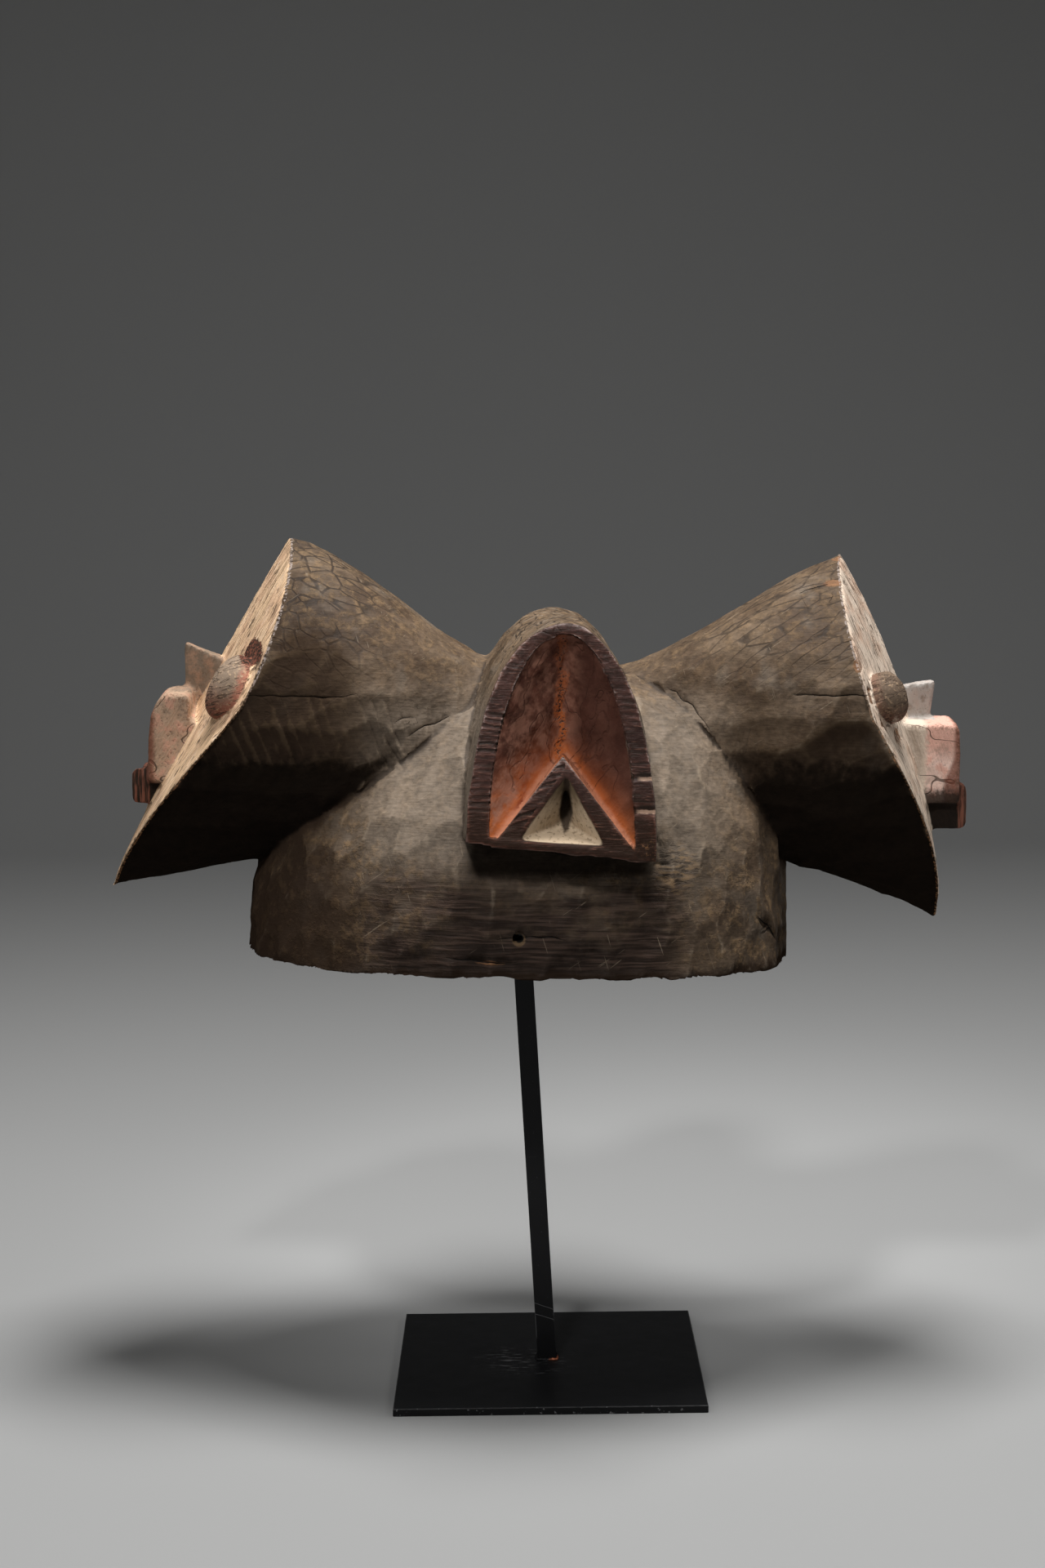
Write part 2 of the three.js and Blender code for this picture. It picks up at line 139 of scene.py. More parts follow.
# Nicks in the right leg of the ear's band: x and height, and how far the cuts' finish reaches round them
NICKS = ((65.0, 100.0), (64.5, 84.2))
NICK_REACH = (5.0, 3.0)

# Stand, in millimetres
PLATE_SIDE = 160.0
PLATE_THICK = 4.0
BAR = {"side": 10.0, "foot_x": -1.0, "lean": -0.0477}
BEAD = {"reach": 5.3, "radius": 0.9, "lift": 0.2, "gap": 0.02}

# Studio, in metres: the lights look at a place this far above the rim's middle
LOOK_UP = Vector((0.015, 0.0, 0.085))
LIGHTS = {
    "top": {"place": (0.12, -0.12, 1.75), "size": 0.55},
    "front": {
        "place": (-0.32, -1.2, 1.5),
        "spot_size": math.radians(20), "spot_blend": 1.0, "shadow_soft_size": 0.1,
    },
    "left": {"place": (-1.2, -0.45, 1.15), "size": 0.6},
    "right": {"place": (1.25, -0.45, 1.15), "size": 0.6},
}
SWEEP = {"half_width": 4.0, "front": -4.0, "bend": 2.2, "radius": 1.2, "top": 4.5}
# The photograph's viewpoint; the sensor's width is in millimetres
CAMERA = {
    "place": Vector((-0.0103, -1.3653, 0.4516)), "pitch": math.radians(5.78), "roll": math.radians(-0.72),
    "sensor": 36.0,
}


def smoothstep(low, high, value):
    """0 at low, 1 at high, and a soft step between, for numbers and arrays."""
    share = np.clip((value - low) / (high - low), 0.0, 1.0)
    return share * share * (3.0 - 2.0 * share)


def scatter(cells, seed):
    """A repeatable value from -1 to 1 for each whole-number cell."""
    code = cells.astype(np.int64) @ np.array([73856093, 19349663, 83492791]) + seed * 2654435761
    code = (code ^ (code >> 13)) * 1274126177
    return ((code ^ (code >> 16)) & 0xFFFF) / 32767.5 - 1.0


def rough(points, size, seed):
    """Smooth noise from -1 to 1 at an array of points, with lumps of about that size."""
    grid = points / size + seed * 17.3
    cell = np.floor(grid)
    share = grid - cell
    share = share * share * (3.0 - 2.0 * share)
    total = np.zeros(len(points))
    for corner in np.ndindex(2, 2, 2):
        weight = np.prod(np.where(corner, share, 1.0 - share), axis=1)
        total += weight * scatter(cell + corner, seed)
    return total


class Skin:
    """A mesh's vertices, edges and normals as arrays, in the carving's frame and in millimetres."""

    def __init__(self, mesh):
        self.mesh = mesh
        count = len(mesh.vertices)
        flat = np.empty(count * 3, np.float32)
        mesh.vertices.foreach_get("co", flat)
        world = np.c_[flat.reshape(-1, 3).astype(float), np.ones(count)]
        self.points = world @ np.array(CARVING_PLACE.inverted()).T[:, :3]
        ends = np.empty(len(mesh.edges) * 2, np.int32)
        mesh.edges.foreach_get("vertices", ends)
        self.ends = ends.reshape(-1, 2)
        self.degree = np.maximum(np.bincount(ends, minlength=count), 1).astype(float)
        self.settle()

    def settle(self):
        """Puts the points back into the mesh and reads the normals that they now have."""
        world = np.c_[self.points, np.ones(len(self.points))] @ np.array(CARVING_PLACE).T[:, :3]
        self.mesh.vertices.foreach_set("co", world.astype(np.float32).ravel())
        self.mesh.update()
        flat = np.empty(len(self.points) * 3, np.float32)
        self.mesh.vertex_normals.foreach_get("vector", flat)
        self.normals = flat.reshape(-1, 3).astype(float) @ np.array(CARVING_TURN.to_3x3())

    def around(self, values):
        """Mean of each vertex's neighbours, for an array with one row a vertex."""
        one, two = self.ends.T
        count = len(self.points)
        columns = [
            np.bincount(one, column[two], count) + np.bincount(two, column[one], count) for column in values.T
        ]
        return np.stack(columns, axis=1) / self.degree[:, None]

    def evened(self, values, rounds, share=0.6):
        """Values drawn towards their neighbours' mean, where share may differ from vertex to vertex."""
        rows = values.reshape(len(values), -1)
        share = np.broadcast_to(np.asarray(share, float).reshape(-1, 1), (len(rows), 1))
        for _ in range(rounds):
            rows = rows + share * (self.around(rows) - rows)
        return rows.reshape(values.shape)

    def lift(self, heights):
        """Moves the surface along its normals, by millimetres."""
        self.points = self.points + self.normals * heights[:, None]
        self.settle()

    def store(self, name, values):
        """Keeps one number a vertex on the mesh, for the finishes to read."""
        layer = self.mesh.attributes.new(name, "FLOAT", "POINT")
        layer.data.foreach_set("value", np.asarray(values).astype(np.float32))


def modified(mesh, kind, **settings):
    """The mesh after one modifier."""
    piece = bpy.data.objects.new("work", mesh)
    bpy.context.scene.collection.objects.link(piece)
    modifier = piece.modifiers.new(kind.title(), kind)
    for key, value in settings.items():
        setattr(modifier, key, value)
    changed = piece.evaluated_get(bpy.context.evaluated_depsgraph_get())
    result = bpy.data.meshes.new_from_object(changed)
    bpy.data.objects.remove(piece)
    bpy.data.meshes.remove(mesh)
    return result


def crease_points(form, least_angle, spacing):
    """Points along a mesh's sharp edges, in world metres."""
    points = []
    for edge in form.edges:
        if len(edge.link_faces) == 2 and edge.calc_face_angle() < least_angle:
            continue
        one, two = edge.verts[0].co, edge.verts[1].co
        steps = max(1, math.ceil((two - one).length / spacing))
        points += [one.lerp(two, k / steps) for k in range(steps + 1)]
    return points


def search_tree(points):
    """A tree that finds the nearest of some points."""
    tree = kdtree.KDTree(len(points))
    for number, point in enumerate(points):
        tree.insert(point, number)
    tree.balance()
    return tree


def triangle_depth(u, z, corners):
    """How far inside a triangle each point lies, negative outside it."""
    inside = None
    middle = np.mean(corners, axis=0)
    for k in range(3):
        (ua, za), (ub, zb) = corners[k], corners[(k + 1) % 3]
        normal = np.array([zb - za, ua - ub]) / math.hypot(ub - ua, zb - za)
        if normal @ (middle - (ua, za)) < 0:
            normal = -normal
        depth = (u - ua) * normal[0] + (z - za) * normal[1]
        inside = depth if inside is None else np.minimum(inside, depth)
    return inside


class Regions:
    """Where each vertex lies on the carving: signed distances in millimetres to its painted areas."""

    def __init__(self, skin):
        self.points = skin.points
        self.normals = skin.normals
        self.x, self.y, self.z = skin.points.T
        self.aside = np.abs(self.y)
        self.find_ears()
        self.find_hollow()
        self.find_faces()
        self.find_cracks()

    def find_ears(self):
        """Depth behind the ears' rim plane, and how far inside their bowl, flap, pit and slot."""
        u = np.where(self.y < 0, self.x - EAR["x"], EAR["x"] - self.x)
        z = self.z
        rim = EAR["reach"] - EAR["lean_back"] * (z - EAR["base"]) / EAR["height"]
        self.ear_u = u
        self.ear_depth = rim - self.aside
        rise = (z - BOWL["base"]) / BOWL["height"]
        rise = (z + EDGE_FALL * u * (1 - rise) - BOWL["base"]) / BOWL["height"]
        wide = u / BOWL["half_width"]
        slope = np.hypot(2 * wide / BOWL["half_width"], 2 * rise / BOWL["height"])
        arch = (1 - wide**2 - rise**2) / np.maximum(slope, 0.004)
        self.bowl = np.minimum(arch, rise * BOWL["height"])
        self.flap = triangle_depth(u, z, FLAP)
        self.pit = triangle_depth(u, z, PIT)
        top, bottom, widest = SLOT["top"], SLOT["bottom"], SLOT["widest"]
        taper = np.where(z > widest, (top - z) / (top - widest), (z - bottom) / (widest - bottom))
        self.slot = SLOT["half_width"] * taper - np.abs(u - SLOT["x"])
        self.on_ear = (z > EAR_ZONE["bottom"]) & (self.aside > EAR_ZONE["aside"])
        self.on_ear &= (np.abs(u) < EAR_ZONE["half_width"]) & (self.ear_depth < EAR_ZONE["depth"])
        facing = self.normals[:, 1] * np.sign(self.y)
        self.band = self.on_ear & (self.ear_depth < 2.2) & (facing > 0.6)
        self.in_bowl = self.on_ear & (self.bowl > 0) & (self.flap < 0) & (self.ear_depth > 0.5)

    def find_hollow(self):
        """1 inside the helmet's hollow and on its rim's inner edge, 0 outside."""
        share = np.clip(self.z / HOLLOW["height"], 0, 1)
        inset = 0.5 * HOLLOW["wall"]
        along = self.x - HOLLOW["shift"] * share**2
        half_length = (HOLLOW["half_length"] - inset) * np.maximum(1 - share**2.6, 1e-6) ** (1 / 2.6)
        half_depth = (HOLLOW["half_depth"] - inset) * np.maximum(1 - share**2.2, 1e-6) ** (1 / 2.2)
        power = np.where(along < 0, 2.25, 3.0) - 0.9 * share
        reach = (np.abs(along) / half_length) ** power + (self.aside / half_depth) ** power
        self.hollow = 1 - smoothstep(0.98, 1.03, np.where(self.z < HOLLOW["height"] - inset, reach, 2.0))

    def find_faces(self):
        """Height above the faces, and distances into the eyes, noses, muzzles and lips."""
        shape = self.x.shape
        self.along = np.zeros(shape)
        for name in ("proud", "eye", "nose", "muzzle", "jaw", "lip"):
            setattr(self, name, np.full(shape, -30.0))
        for head in HEADS.values():
            self.find_face(head)

    def find_face(self, head):
        side = math.copysign(1.0, head["peak"][0])
        peak, chin = np.array(head["peak"]), np.array(head["chin"])
        length = np.hypot(*(chin - peak))
        down = (chin - peak) / length
        out = np.array([-down[1], down[0]]) * side
        dx, dz = self.x - peak[0], self.z - peak[1]
        along = dx * down[0] + dz * down[1]
        a = 1 - 2 * along / length
        share = np.clip(FACE_SLOPE["middle"] + FACE_SLOPE["grows"] * a, FACE_SLOPE["least"], 1)
        lift = head["ridge"] * (1 - a * a) - FACE_SLOPE["fall"] * share * self.aside
        proud = dx * out[0] + dz * out[1] - lift
        here = (self.x * side > 100) & (along > -6) & (along < length + 6)
        eye_at, eye_radius, stretch = head["eye"]
        eye = eye_radius - np.hypot((along - eye_at) / stretch, self.aside - EYE_OFFSET)
        nose_from, nose_to = head["nose"]
        front, low, high = head["muzzle"]
        nose = np.minimum(NOSE_HALF_WIDTH + 0.5 - self.aside, np.minimum(along - nose_from, nose_to - along))
        muzzle = np.minimum(MUZZLE_HALF_WIDTH + 1 - self.aside, np.minimum(self.z - low, high + 1 - self.z))
        under_nose = (nose > 0) & (self.z > high - 3) & (self.x * side < front - 10)
        muzzle = np.where(under_nose, -1.0, muzzle)
        lip_low, lip_high = head["lip"]
        jaw = np.minimum(np.minimum(MUZZLE_HALF_WIDTH - self.aside, low + 1 - self.z), self.z - lip_low + 1)
        lip = np.minimum(LIP_HALF_WIDTH + 1 - self.aside, lip_high + 1 - self.z)
        lip = np.minimum(lip, self.x * side - front - 0.5)
        raised = {"eye": eye, "nose": nose, "muzzle": muzzle, "jaw": jaw, "lip": lip}
        for name, depth in raised.items():
            depth = np.minimum(depth + 0.8, proud - 0.6)
            setattr(self, name, np.where(here, depth, getattr(self, name)))
        self.proud = np.where(here, proud, self.proud)
        self.along = np.where(here, along, self.along)

    def find_cracks(self):
        """Signed distance to the nearest crack line, how far it opens there, and how deep the cracks go."""
        front = (self.y < 0) & (self.hollow < 0.5)
        flat = self.points[:, [0, 2]].copy()
        flat[:, 0] += 0.9 * rough(self.points, 7.0, 3)
        flat[:, 1] += 0.9 * rough(self.points, 5.0, 5)
        self.crack = np.full(len(flat), 9.0)
        self.crack_open = np.zeros(len(flat))
        self.crack_depth = np.zeros(len(flat))
        for points, width, depth in CRACKS:
            steps = len(points) - 1
            for k in range(steps):
                one, two = np.array(points[k], float), np.array(points[k + 1], float)
                run = two - one
                share = ((flat - one) @ run) / (run @ run)
                off = (flat - one - np.clip(share, 0, 1)[:, None] * run) @ np.array([-run[1], run[0]])
                off /= np.hypot(*run)
                beyond = np.maximum(np.abs(share - 0.5) - 0.5, 0) * np.hypot(*run)
                along = (k + np.clip(share, 0, 1)) / steps
                taper = np.clip(4 * along * (1 - along), 0, 1) ** 0.6
                gap = np.hypot(off, beyond)
                nearer = front & (gap < np.abs(self.crack)) & (beyond < 1.2)
                self.crack = np.where(nearer, np.copysign(gap, off), self.crack)
                self.crack_open = np.where(nearer, taper * width, self.crack_open)
                self.crack_depth = np.where(nearer, taper * depth, self.crack_depth)
        self.breaks = np.full(len(flat), -9.0)
        self.break_depth = np.zeros(len(flat))
        for (x, z), half_length, half_height, depth in BREAKS:
            size = min(half_length, half_height)
            gap = np.hypot((flat[:, 0] - x) / half_length, (flat[:, 1] - z) / half_height)
            inside = np.where(front, size * (1 - gap), -9.0)
            self.break_depth = np.where(inside > self.breaks, depth, self.break_depth)
            self.breaks = np.maximum(self.breaks, inside)


def channels(points, across, spacing, seed, wander=0.3, steep=0.5):
    """Depth from 0 to 1 of parallel cuts that lie side by side; a higher steep makes them lean one way."""
    phase = points @ np.array(across) / spacing + wander * rough(points, 4 * spacing, seed)
    column = np.floor(phase)
    share = phase - column
    strength = 0.6 + 0.4 * scatter(np.stack([column, column, column], axis=1), seed)
    return strength * np.minimum(share / steep, (1 - share) / (1 - steep))


def spread_seeds(skin, wanted, spacing, seed):
    """Numbers of vertices that lie about a spacing apart on the wanted part of the skin."""
    chosen = np.nonzero(wanted)[0]
    points = skin.points[chosen]
    cell = np.floor(points / spacing)
    jitter = np.stack([scatter(cell, seed + k) for k in range(3)], axis=1) * 0.28
    offset = np.linalg.norm(points / spacing - cell - 0.5 - jitter, axis=1)
    _, code = np.unique(cell, axis=0, return_inverse=True)
    order = np.lexsort((offset, code.ravel()))
    first = np.r_[True, np.diff(code.ravel()[order]) > 0]
    best = order[first]
    best = best[offset[best] < 0.62]
    return chosen[best]


class Gouging:
    """Scoops side by side over part of the skin: heights, ridges between them and a tone for each scoop."""

    def __init__(self, skin, wanted, spacing, direction, long, seed):
        seeds = spread_seeds(skin, wanted, spacing, seed)
        centre, normal = skin.points[seeds], skin.normals[seeds]
        swing = 0.5 * scatter(np.round(centre), seed + 5)
        lead = np.array(direction, float) + 0.6 * np.stack([swing, -swing, 0.7 * swing], axis=1)
        lead -= normal * (lead * normal).sum(1)[:, None]
        lead /= np.maximum(np.linalg.norm(lead, axis=1), 1e-6)[:, None]
        side = np.cross(normal, lead)
        depth = 0.7 + 0.4 * scatter(np.round(centre), seed + 6)
        lean = 0.6 * scatter(np.round(centre), seed + 7)
        tree = search_tree(centre)
        at = np.nonzero(wanted)[0]
        near = np.array([[number for _, number, _ in tree.find_n(point, 6)] for point in skin.points[at]])
        height = np.full((len(at), near.shape[1]), 9.0)
        for k in range(near.shape[1]):
            scoop = near[:, k]
            offset = (skin.points[at] - centre[scoop]) / spacing
            across = (offset * side[scoop]).sum(1)
            along = (offset * lead[scoop]).sum(1)
            agree = (skin.normals[at] * normal[scoop]).sum(1)
            bowl = 3.4 * across**2 + 3.4 / long**2 * along**2 + lean[scoop] * across
            height[:, k] = bowl - depth[scoop] + 4.0 * np.maximum(0.8 - agree, 0)
        order = np.argsort(height, axis=1)
        lowest = np.take_along_axis(height, order[:, :2], axis=1)
        count = len(skin.points)
        self.heights, self.ridges, self.tones = np.zeros(count), np.zeros(count), np.zeros(count)
        self.heights[at] = np.clip(lowest[:, 0], -1.1, 0.6)
        self.ridges[at] = np.exp(-(lowest[:, 1] - lowest[:, 0]) / 0.14)
        owner = near[np.arange(len(at)), order[:, 0]]
        self.tones[at] = scatter(np.round(centre), seed + 9)[owner]


def carving_mesh(settings):
    """The mask's surface: the frame's solid, softened and then cut all over with a carver's tools."""
    form = bmesh.new()
    form.from_mesh(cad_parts["helmet_mask"].data)
    bmesh.ops.remove_doubles(form, verts=form.verts, dist=0.01 * MM)
    creases = crease_points(form, math.radians(26), 1.5 * MM)
    solid = bpy.data.meshes.new("carved_mask")
    form.to_mesh(solid)
    form.free()
    mesh = modified(solid, "REMESH", mode="VOXEL", voxel_size=settings.voxel)
    soften(mesh, creases)
    split_fine_areas(mesh)
    skin = Skin(mesh)
    cut_surface(skin, settings)
    store_marks(skin)
    return modified(skin.mesh, "DECIMATE", ratio=min(1.0, settings.triangles / (2 * len(mesh.polygons))))


def soften(mesh, creases):
    """Takes the solid's flat facets away and leaves its carved edges."""
    skin = Skin(mesh)
    tree = search_tree(creases)
    world = np.c_[skin.points, np.ones(len(skin.points))] @ np.array(CARVING_PLACE).T[:, :3]
    reach = np.array([tree.find(point)[2] for point in world]) / MM
    skin.points = skin.evened(skin.points, 40, 0.62 * smoothstep(1.3, 7.0, reach))
    skin.points = skin.evened(skin.points, 2, 0.22)
    skin.settle()


def split_fine_areas(mesh):
    """Splits the faces along the cracks and on the front ear's band, where the cuts are finest."""
    regions = Regions(Skin(mesh))
    fine = (regions.band & (regions.y < 0)) | (np.abs(regions.crack) < 2.5)
    form = bmesh.new()
    form.from_mesh(mesh)
    form.verts.ensure_lookup_table()
    fine = set(np.nonzero(fine)[0].tolist())
    edges = [edge for edge in form.edges if edge.verts[0].index in fine and edge.verts[1].index in fine]
    bmesh.ops.subdivide_edges(form, edges=edges, cuts=1, use_grid_fill=True)
    form.to_mesh(mesh)
    form.free()


def scoop_areas(skin, regions):
    """The carving's plain wood, heads, hollow, faces and bowls, with the gouge marks that each has."""
    x, _, z = skin.points.T
    on_face = regions.proud > -1.2
    raised = np.maximum.reduce([regions.eye, regions.nose, regions.muzzle, regions.jaw, regions.lip]) > 0
    inner = regions.hollow > 0.5
    plain = ~on_face & ~regions.band & ~regions.in_bowl & ~(regions.on_ear & (regions.flap > 0)) & ~inner
    aside = np.abs(x - NECK["middle"])
    above_neck = z - NECK["height"] + NECK["fall"] * (aside - NECK["start"])
    head = smoothstep(-6.0, 6.0, above_neck) * smoothstep(32.0, 58.0, aside)
    everywhere = np.ones(len(x))
    calm = head * (1 - 0.68 * smoothstep(138.0, 172.0, z))
    ears = 1 - smoothstep(15.0, 45.0, regions.ear_depth)
    ears = ears * (1 - smoothstep(48.0, 60.0, np.abs(regions.ear_u)))
    body = (1 - head) * (1 - 0.55 * ears * smoothstep(45.0, 75.0, z))
    # Where and how strongly; the scoops' spacing, direction, stretch and depth; and the seed
    return (
        (plain & (head < 1), body, 15.0, (0.3, 0.0, 1.0), 1.6, 1.5, 11),
        (plain & (head > 0) & (x < NECK["middle"]), calm, 17.0, (1.0, 0.0, 0.3), 1.6, 1.2, 23),
        (plain & (head > 0) & (x > NECK["middle"]), calm, 18.0, (1.0, 0.0, 0.5), 1.5, 1.6, 29),
        (inner, everywhere, 18.0, (0.2, 0.2, 1.0), 1.6, 1.5, 31),
        (on_face & ~raised, everywhere, 8.0, (0.1, 0.0, 1.0), 2.2, 0.35, 43),
        (raised, everywhere, 9.0, (0.1, 0.0, 1.0), 1.5, 0.36, 47),
        (regions.in_bowl, everywhere, 11.0, (0.6, 0.0, 1.0), 1.7, 1.05, 57),
    )


def cut_surface(skin, settings):
    """Gouge marks first, then finer cuts, cracks and breaks, each as a change of height along the normals."""
    regions = Regions(skin)
    marks = np.zeros(len(skin.points))
    ridges = np.zeros(len(skin.points))
    tones = np.zeros(len(skin.points))
    for wanted, share, spacing, direction, long, depth, seed in scoop_areas(skin, regions):
        work = Gouging(skin, wanted, spacing, direction, long, seed)
        marks += settings.mark_depth * depth * share * work.heights
        ridges += share * work.ridges
        tones += share * work.tones
    skin.lift(marks)
    skin.store("ridge", np.clip(ridges, 0, 1))
    skin.store("facet", tones)
    cuts = sum(cut(skin, regions) for cut in (head_cuts, ear_cuts, fibres, worn_lumps))
    skin.lift(settings.mark_depth * cuts - cracks_and_breaks(skin, regions))


def fade(value, start, end, soft):
    """1 between start and end, falling to 0 over a soft distance outside them."""
    return smoothstep(start - soft, start, value) * (1 - smoothstep(end, end + soft, value))


def within(rows, x, z, aside):
    """1 where rows of cuts lie on one side, falling to 0 round them."""
    return fade(x, *rows[0]) * fade(z, *rows[1]) * fade(aside, *FLANK)


def head_cuts(skin, regions):
    """Rows of short adze cuts on the flanks of the heads, and combed lines where the right neck begins."""
    x, y, z = skin.points.T
    outside = np.where((regions.proud < -1.5) & (regions.hollow < 0.5), 1.0, 0.0)
    rows = 0.55 + 0.45 * rough(skin.points, 11.0, 71)
    left = within(LEFT_ROWS, x, z, -y)
    adze = channels(skin.points, (1.0, 0.0, 0.42), 6.2, 61, 0.4, 0.22)
    right = within(RIGHT_COMB, x, z, -y)
    comb = channels(skin.points, (1.0, 0.0, -0.22), 2.7, 67, 0.2)
    back = within(BACK_ROWS, np.abs(x), z, y)
    return -outside * (1.25 * left * rows * adze + 0.4 * right * comb + 0.8 * back * rows * adze)


def ear_cuts(skin, regions):
    """Slices across the legs of the ears' bands and flaps, with a few deeper nicks."""
    u, z = regions.ear_u, regions.z
    front = np.where(regions.band & (regions.flap < -0.5) & (regions.bowl < 0.8), 1.0, 0.0)
    slices = channels(skin.points, (0.12, 0.0, 1.0), 3.2, 73, 0.45, 0.72)
    left = front * fade(u, -50, -24, 3) * fade(z, 88, 128, 6)
    right = front * fade(u, 22, 50, 3) * fade(z, 104, 138, 10)
    nicks = front * np.where(u > 30, 1.0, 0.0) * (fade(z, 100, 101.5, 1.4) + fade(z, 84, 85.5, 1.6))
    crown = front * fade(z, 128, 170, 5)
    flap = np.where(regions.band & (regions.flap > 0.4) & (regions.pit < -0.2) & (u < 1), 1.0, 0.0)
    slanted = channels(skin.points, (-0.3, 0.0, 1.0), 3.6, 79, 0.35, 0.7)
    corner = np.where(regions.on_ear, 1.0, 0.0) * fade(u, 37, 50, 2) * fade(z, 50, 69, 2)
    crumbs = np.maximum(0, rough(skin.points, 3.1, 83) + 0.5 * rough(skin.points, 1.7, 85))
    cuts = 0.95 * left * slices + 0.4 * right * slices + 0.9 * nicks
    cuts = cuts + 1.1 * flap * fade(z, 76, 106, 3) * slanted
    off_valley = np.abs(u + 0.6 * rough(skin.points, 9.0, 87))
    valley = np.where(regions.in_bowl, 1.0, 0.0) * np.exp(-off_valley / 1.8)
    return -cuts - 0.2 * crown * slices - 0.9 * corner * crumbs - 0.8 * valley * crumbs


def fibres(skin, regions):
    """Torn wood fibres that run across the lower front and back."""
    x, y, z = skin.points.T
    outside = np.where((regions.hollow < 0.5) & (np.abs(y) > 60), 1.0, 0.0)
    low = fade(x, -62, 72, 24) * fade(z, 4, 42, 12) * outside
    line = skin.points * np.array([0.09, 0.3, 1.0])
    torn = np.maximum(0, rough(line, 1.7, 91) - 0.1) + 0.6 * np.maximum(0, rough(line, 0.9, 93))
    patches = 0.3 + 0.9 * smoothstep(-0.2, 0.5, rough(skin.points, 17.0, 95))
    patch = ((x - TORN["x"]) / TORN["half_length"]) ** 2 + ((z - TORN["z"]) / TORN["half_height"]) ** 2
    patch = np.where(y < -40, np.exp(-patch), 0.0)
    crumbs = np.maximum(0, rough(skin.points * np.array([0.3, 0.5, 1.0]), 1.7, 97))
    return -0.6 * low * torn * patches - 0.8 * patch * crumbs


def worn_lumps(skin, regions):
    """Small unevenness everywhere, larger along the helmet's lower edge."""
    edge = 1 - smoothstep(2.0, 9.0, regions.z)
    swell = 0.35 * rough(skin.points, 30.0, 101) + 0.14 * rough(skin.points, 6.5, 103)
    rim = np.clip(regions.eye / EYE_DOME["reach"], 0, 1)
    swell = swell + EYE_DOME["height"] * (1 - (1 - rim) ** 2)
    return swell + 0.3 * edge * rough(skin.points, 22.0, 107) + 0.14 * edge * rough(skin.points, 5.0, 109)


def cracks_and_breaks(skin, regions):
    """Depth of the cracks, the broken places, and the worn ring round the drilled hole."""
    width = np.maximum(regions.crack_open, 0.2)
    crack = regions.crack_depth * np.exp(-((regions.crack / (1.1 * width)) ** 2))
    broken = smoothstep(-0.3, 0.9, regions.breaks + 0.9 * rough(skin.points, 2.6, 113))
    broken *= regions.break_depth * (0.7 + 0.5 * rough(skin.points, 1.8, 115))
    hole = np.hypot(regions.x - CORD_HOLE[0], regions.z - CORD_HOLE[1])
    ring = np.exp(-((hole / HOLE_RING["radius"]) ** 2))
    ring = np.where((regions.y < -60) & (regions.hollow < 0.5), ring, 0.0)
    return crack + broken + HOLE_RING["depth"] * ring


# What the finishes read about each vertex, in millimetres: mostly how far inside an area it is
REGION_MARKS = (
    "crack_open", "proud", "along", "eye", "nose", "muzzle", "jaw", "lip", "bowl", "flap", "pit", "slot",
    "hollow", "crack", "breaks",
)


def store_marks(skin):
    """Keeps on the mesh what the finishes need to know about each place."""
    regions = Regions(skin)
    near_mean = skin.evened(skin.points, 8, 0.6)
    skin.store("convex", np.clip(((skin.points - near_mean) * skin.normals).sum(1), -1.5, 1.5))
    facing = skin.evened(skin.normals[:, 2].copy(), 30, 0.6)
    skin.store("shade", facing)
    skin.store("ear_depth", np.where(regions.on_ear, regions.ear_depth, 60.0))
    for name in REGION_MARKS:
        skin.store(name, np.clip(getattr(regions, name), -40, 240))


class Coat:
    """A finish before it is joined to the shader: colour, roughness, height in millimetres, and gloss."""

    def __init__(self, colour, roughness, height, gloss=0.14):
        self.colour = colour
        self.roughness = roughness
        self.height = height
        self.gloss = gloss


class Field:
    """A number that nodes work out at each place of the surface; it adds and multiplies as numbers do."""

    def __init__(self, finish, socket):
        self.finish = finish
        self.socket = socket

    def __add__(self, other):
        return self.finish.math("ADD", self, other)

    def __radd__(self, other):
        return self.finish.math("ADD", other, self)

    def __sub__(self, other):
        return self.finish.math("SUBTRACT", self, other)

    def __rsub__(self, other):
        return self.finish.math("SUBTRACT", other, self)

    def __mul__(self, other):
        return self.finish.math("MULTIPLY", self, other)

    def __abs__(self):
        return self.finish.math("ABSOLUTE", self)

    def step(self, low, high, bottom=0.0, top=1.0):
        """A soft step from bottom at low to top at high."""
        values = {"Value": self, "From Min": low, "From Max": high, "To Min": bottom, "To Max": top}
        node = self.finish.node("ShaderNodeMapRange", values, interpolation_type="SMOOTHSTEP")
        return Field(self.finish, node.outputs[0])

    def span(self, start, end, soft):
        """1 between start and end, falling to 0 over a soft distance outside them."""
        return self.step(start - soft, start) * self.step(end, end + soft, 1.0, 0.0)

    def blend(self, one, two):
        """Two numbers blended by this share."""
        node = self.finish.node("ShaderNodeMix", {0: self, 2: one, 3: two}, data_type="FLOAT")
        return Field(self.finish, node.outputs[0])


def most(first, *others):
    """The largest of some fields at each place."""
    for other in others:
        first = first.finish.math("MAXIMUM", first, other)
    return first


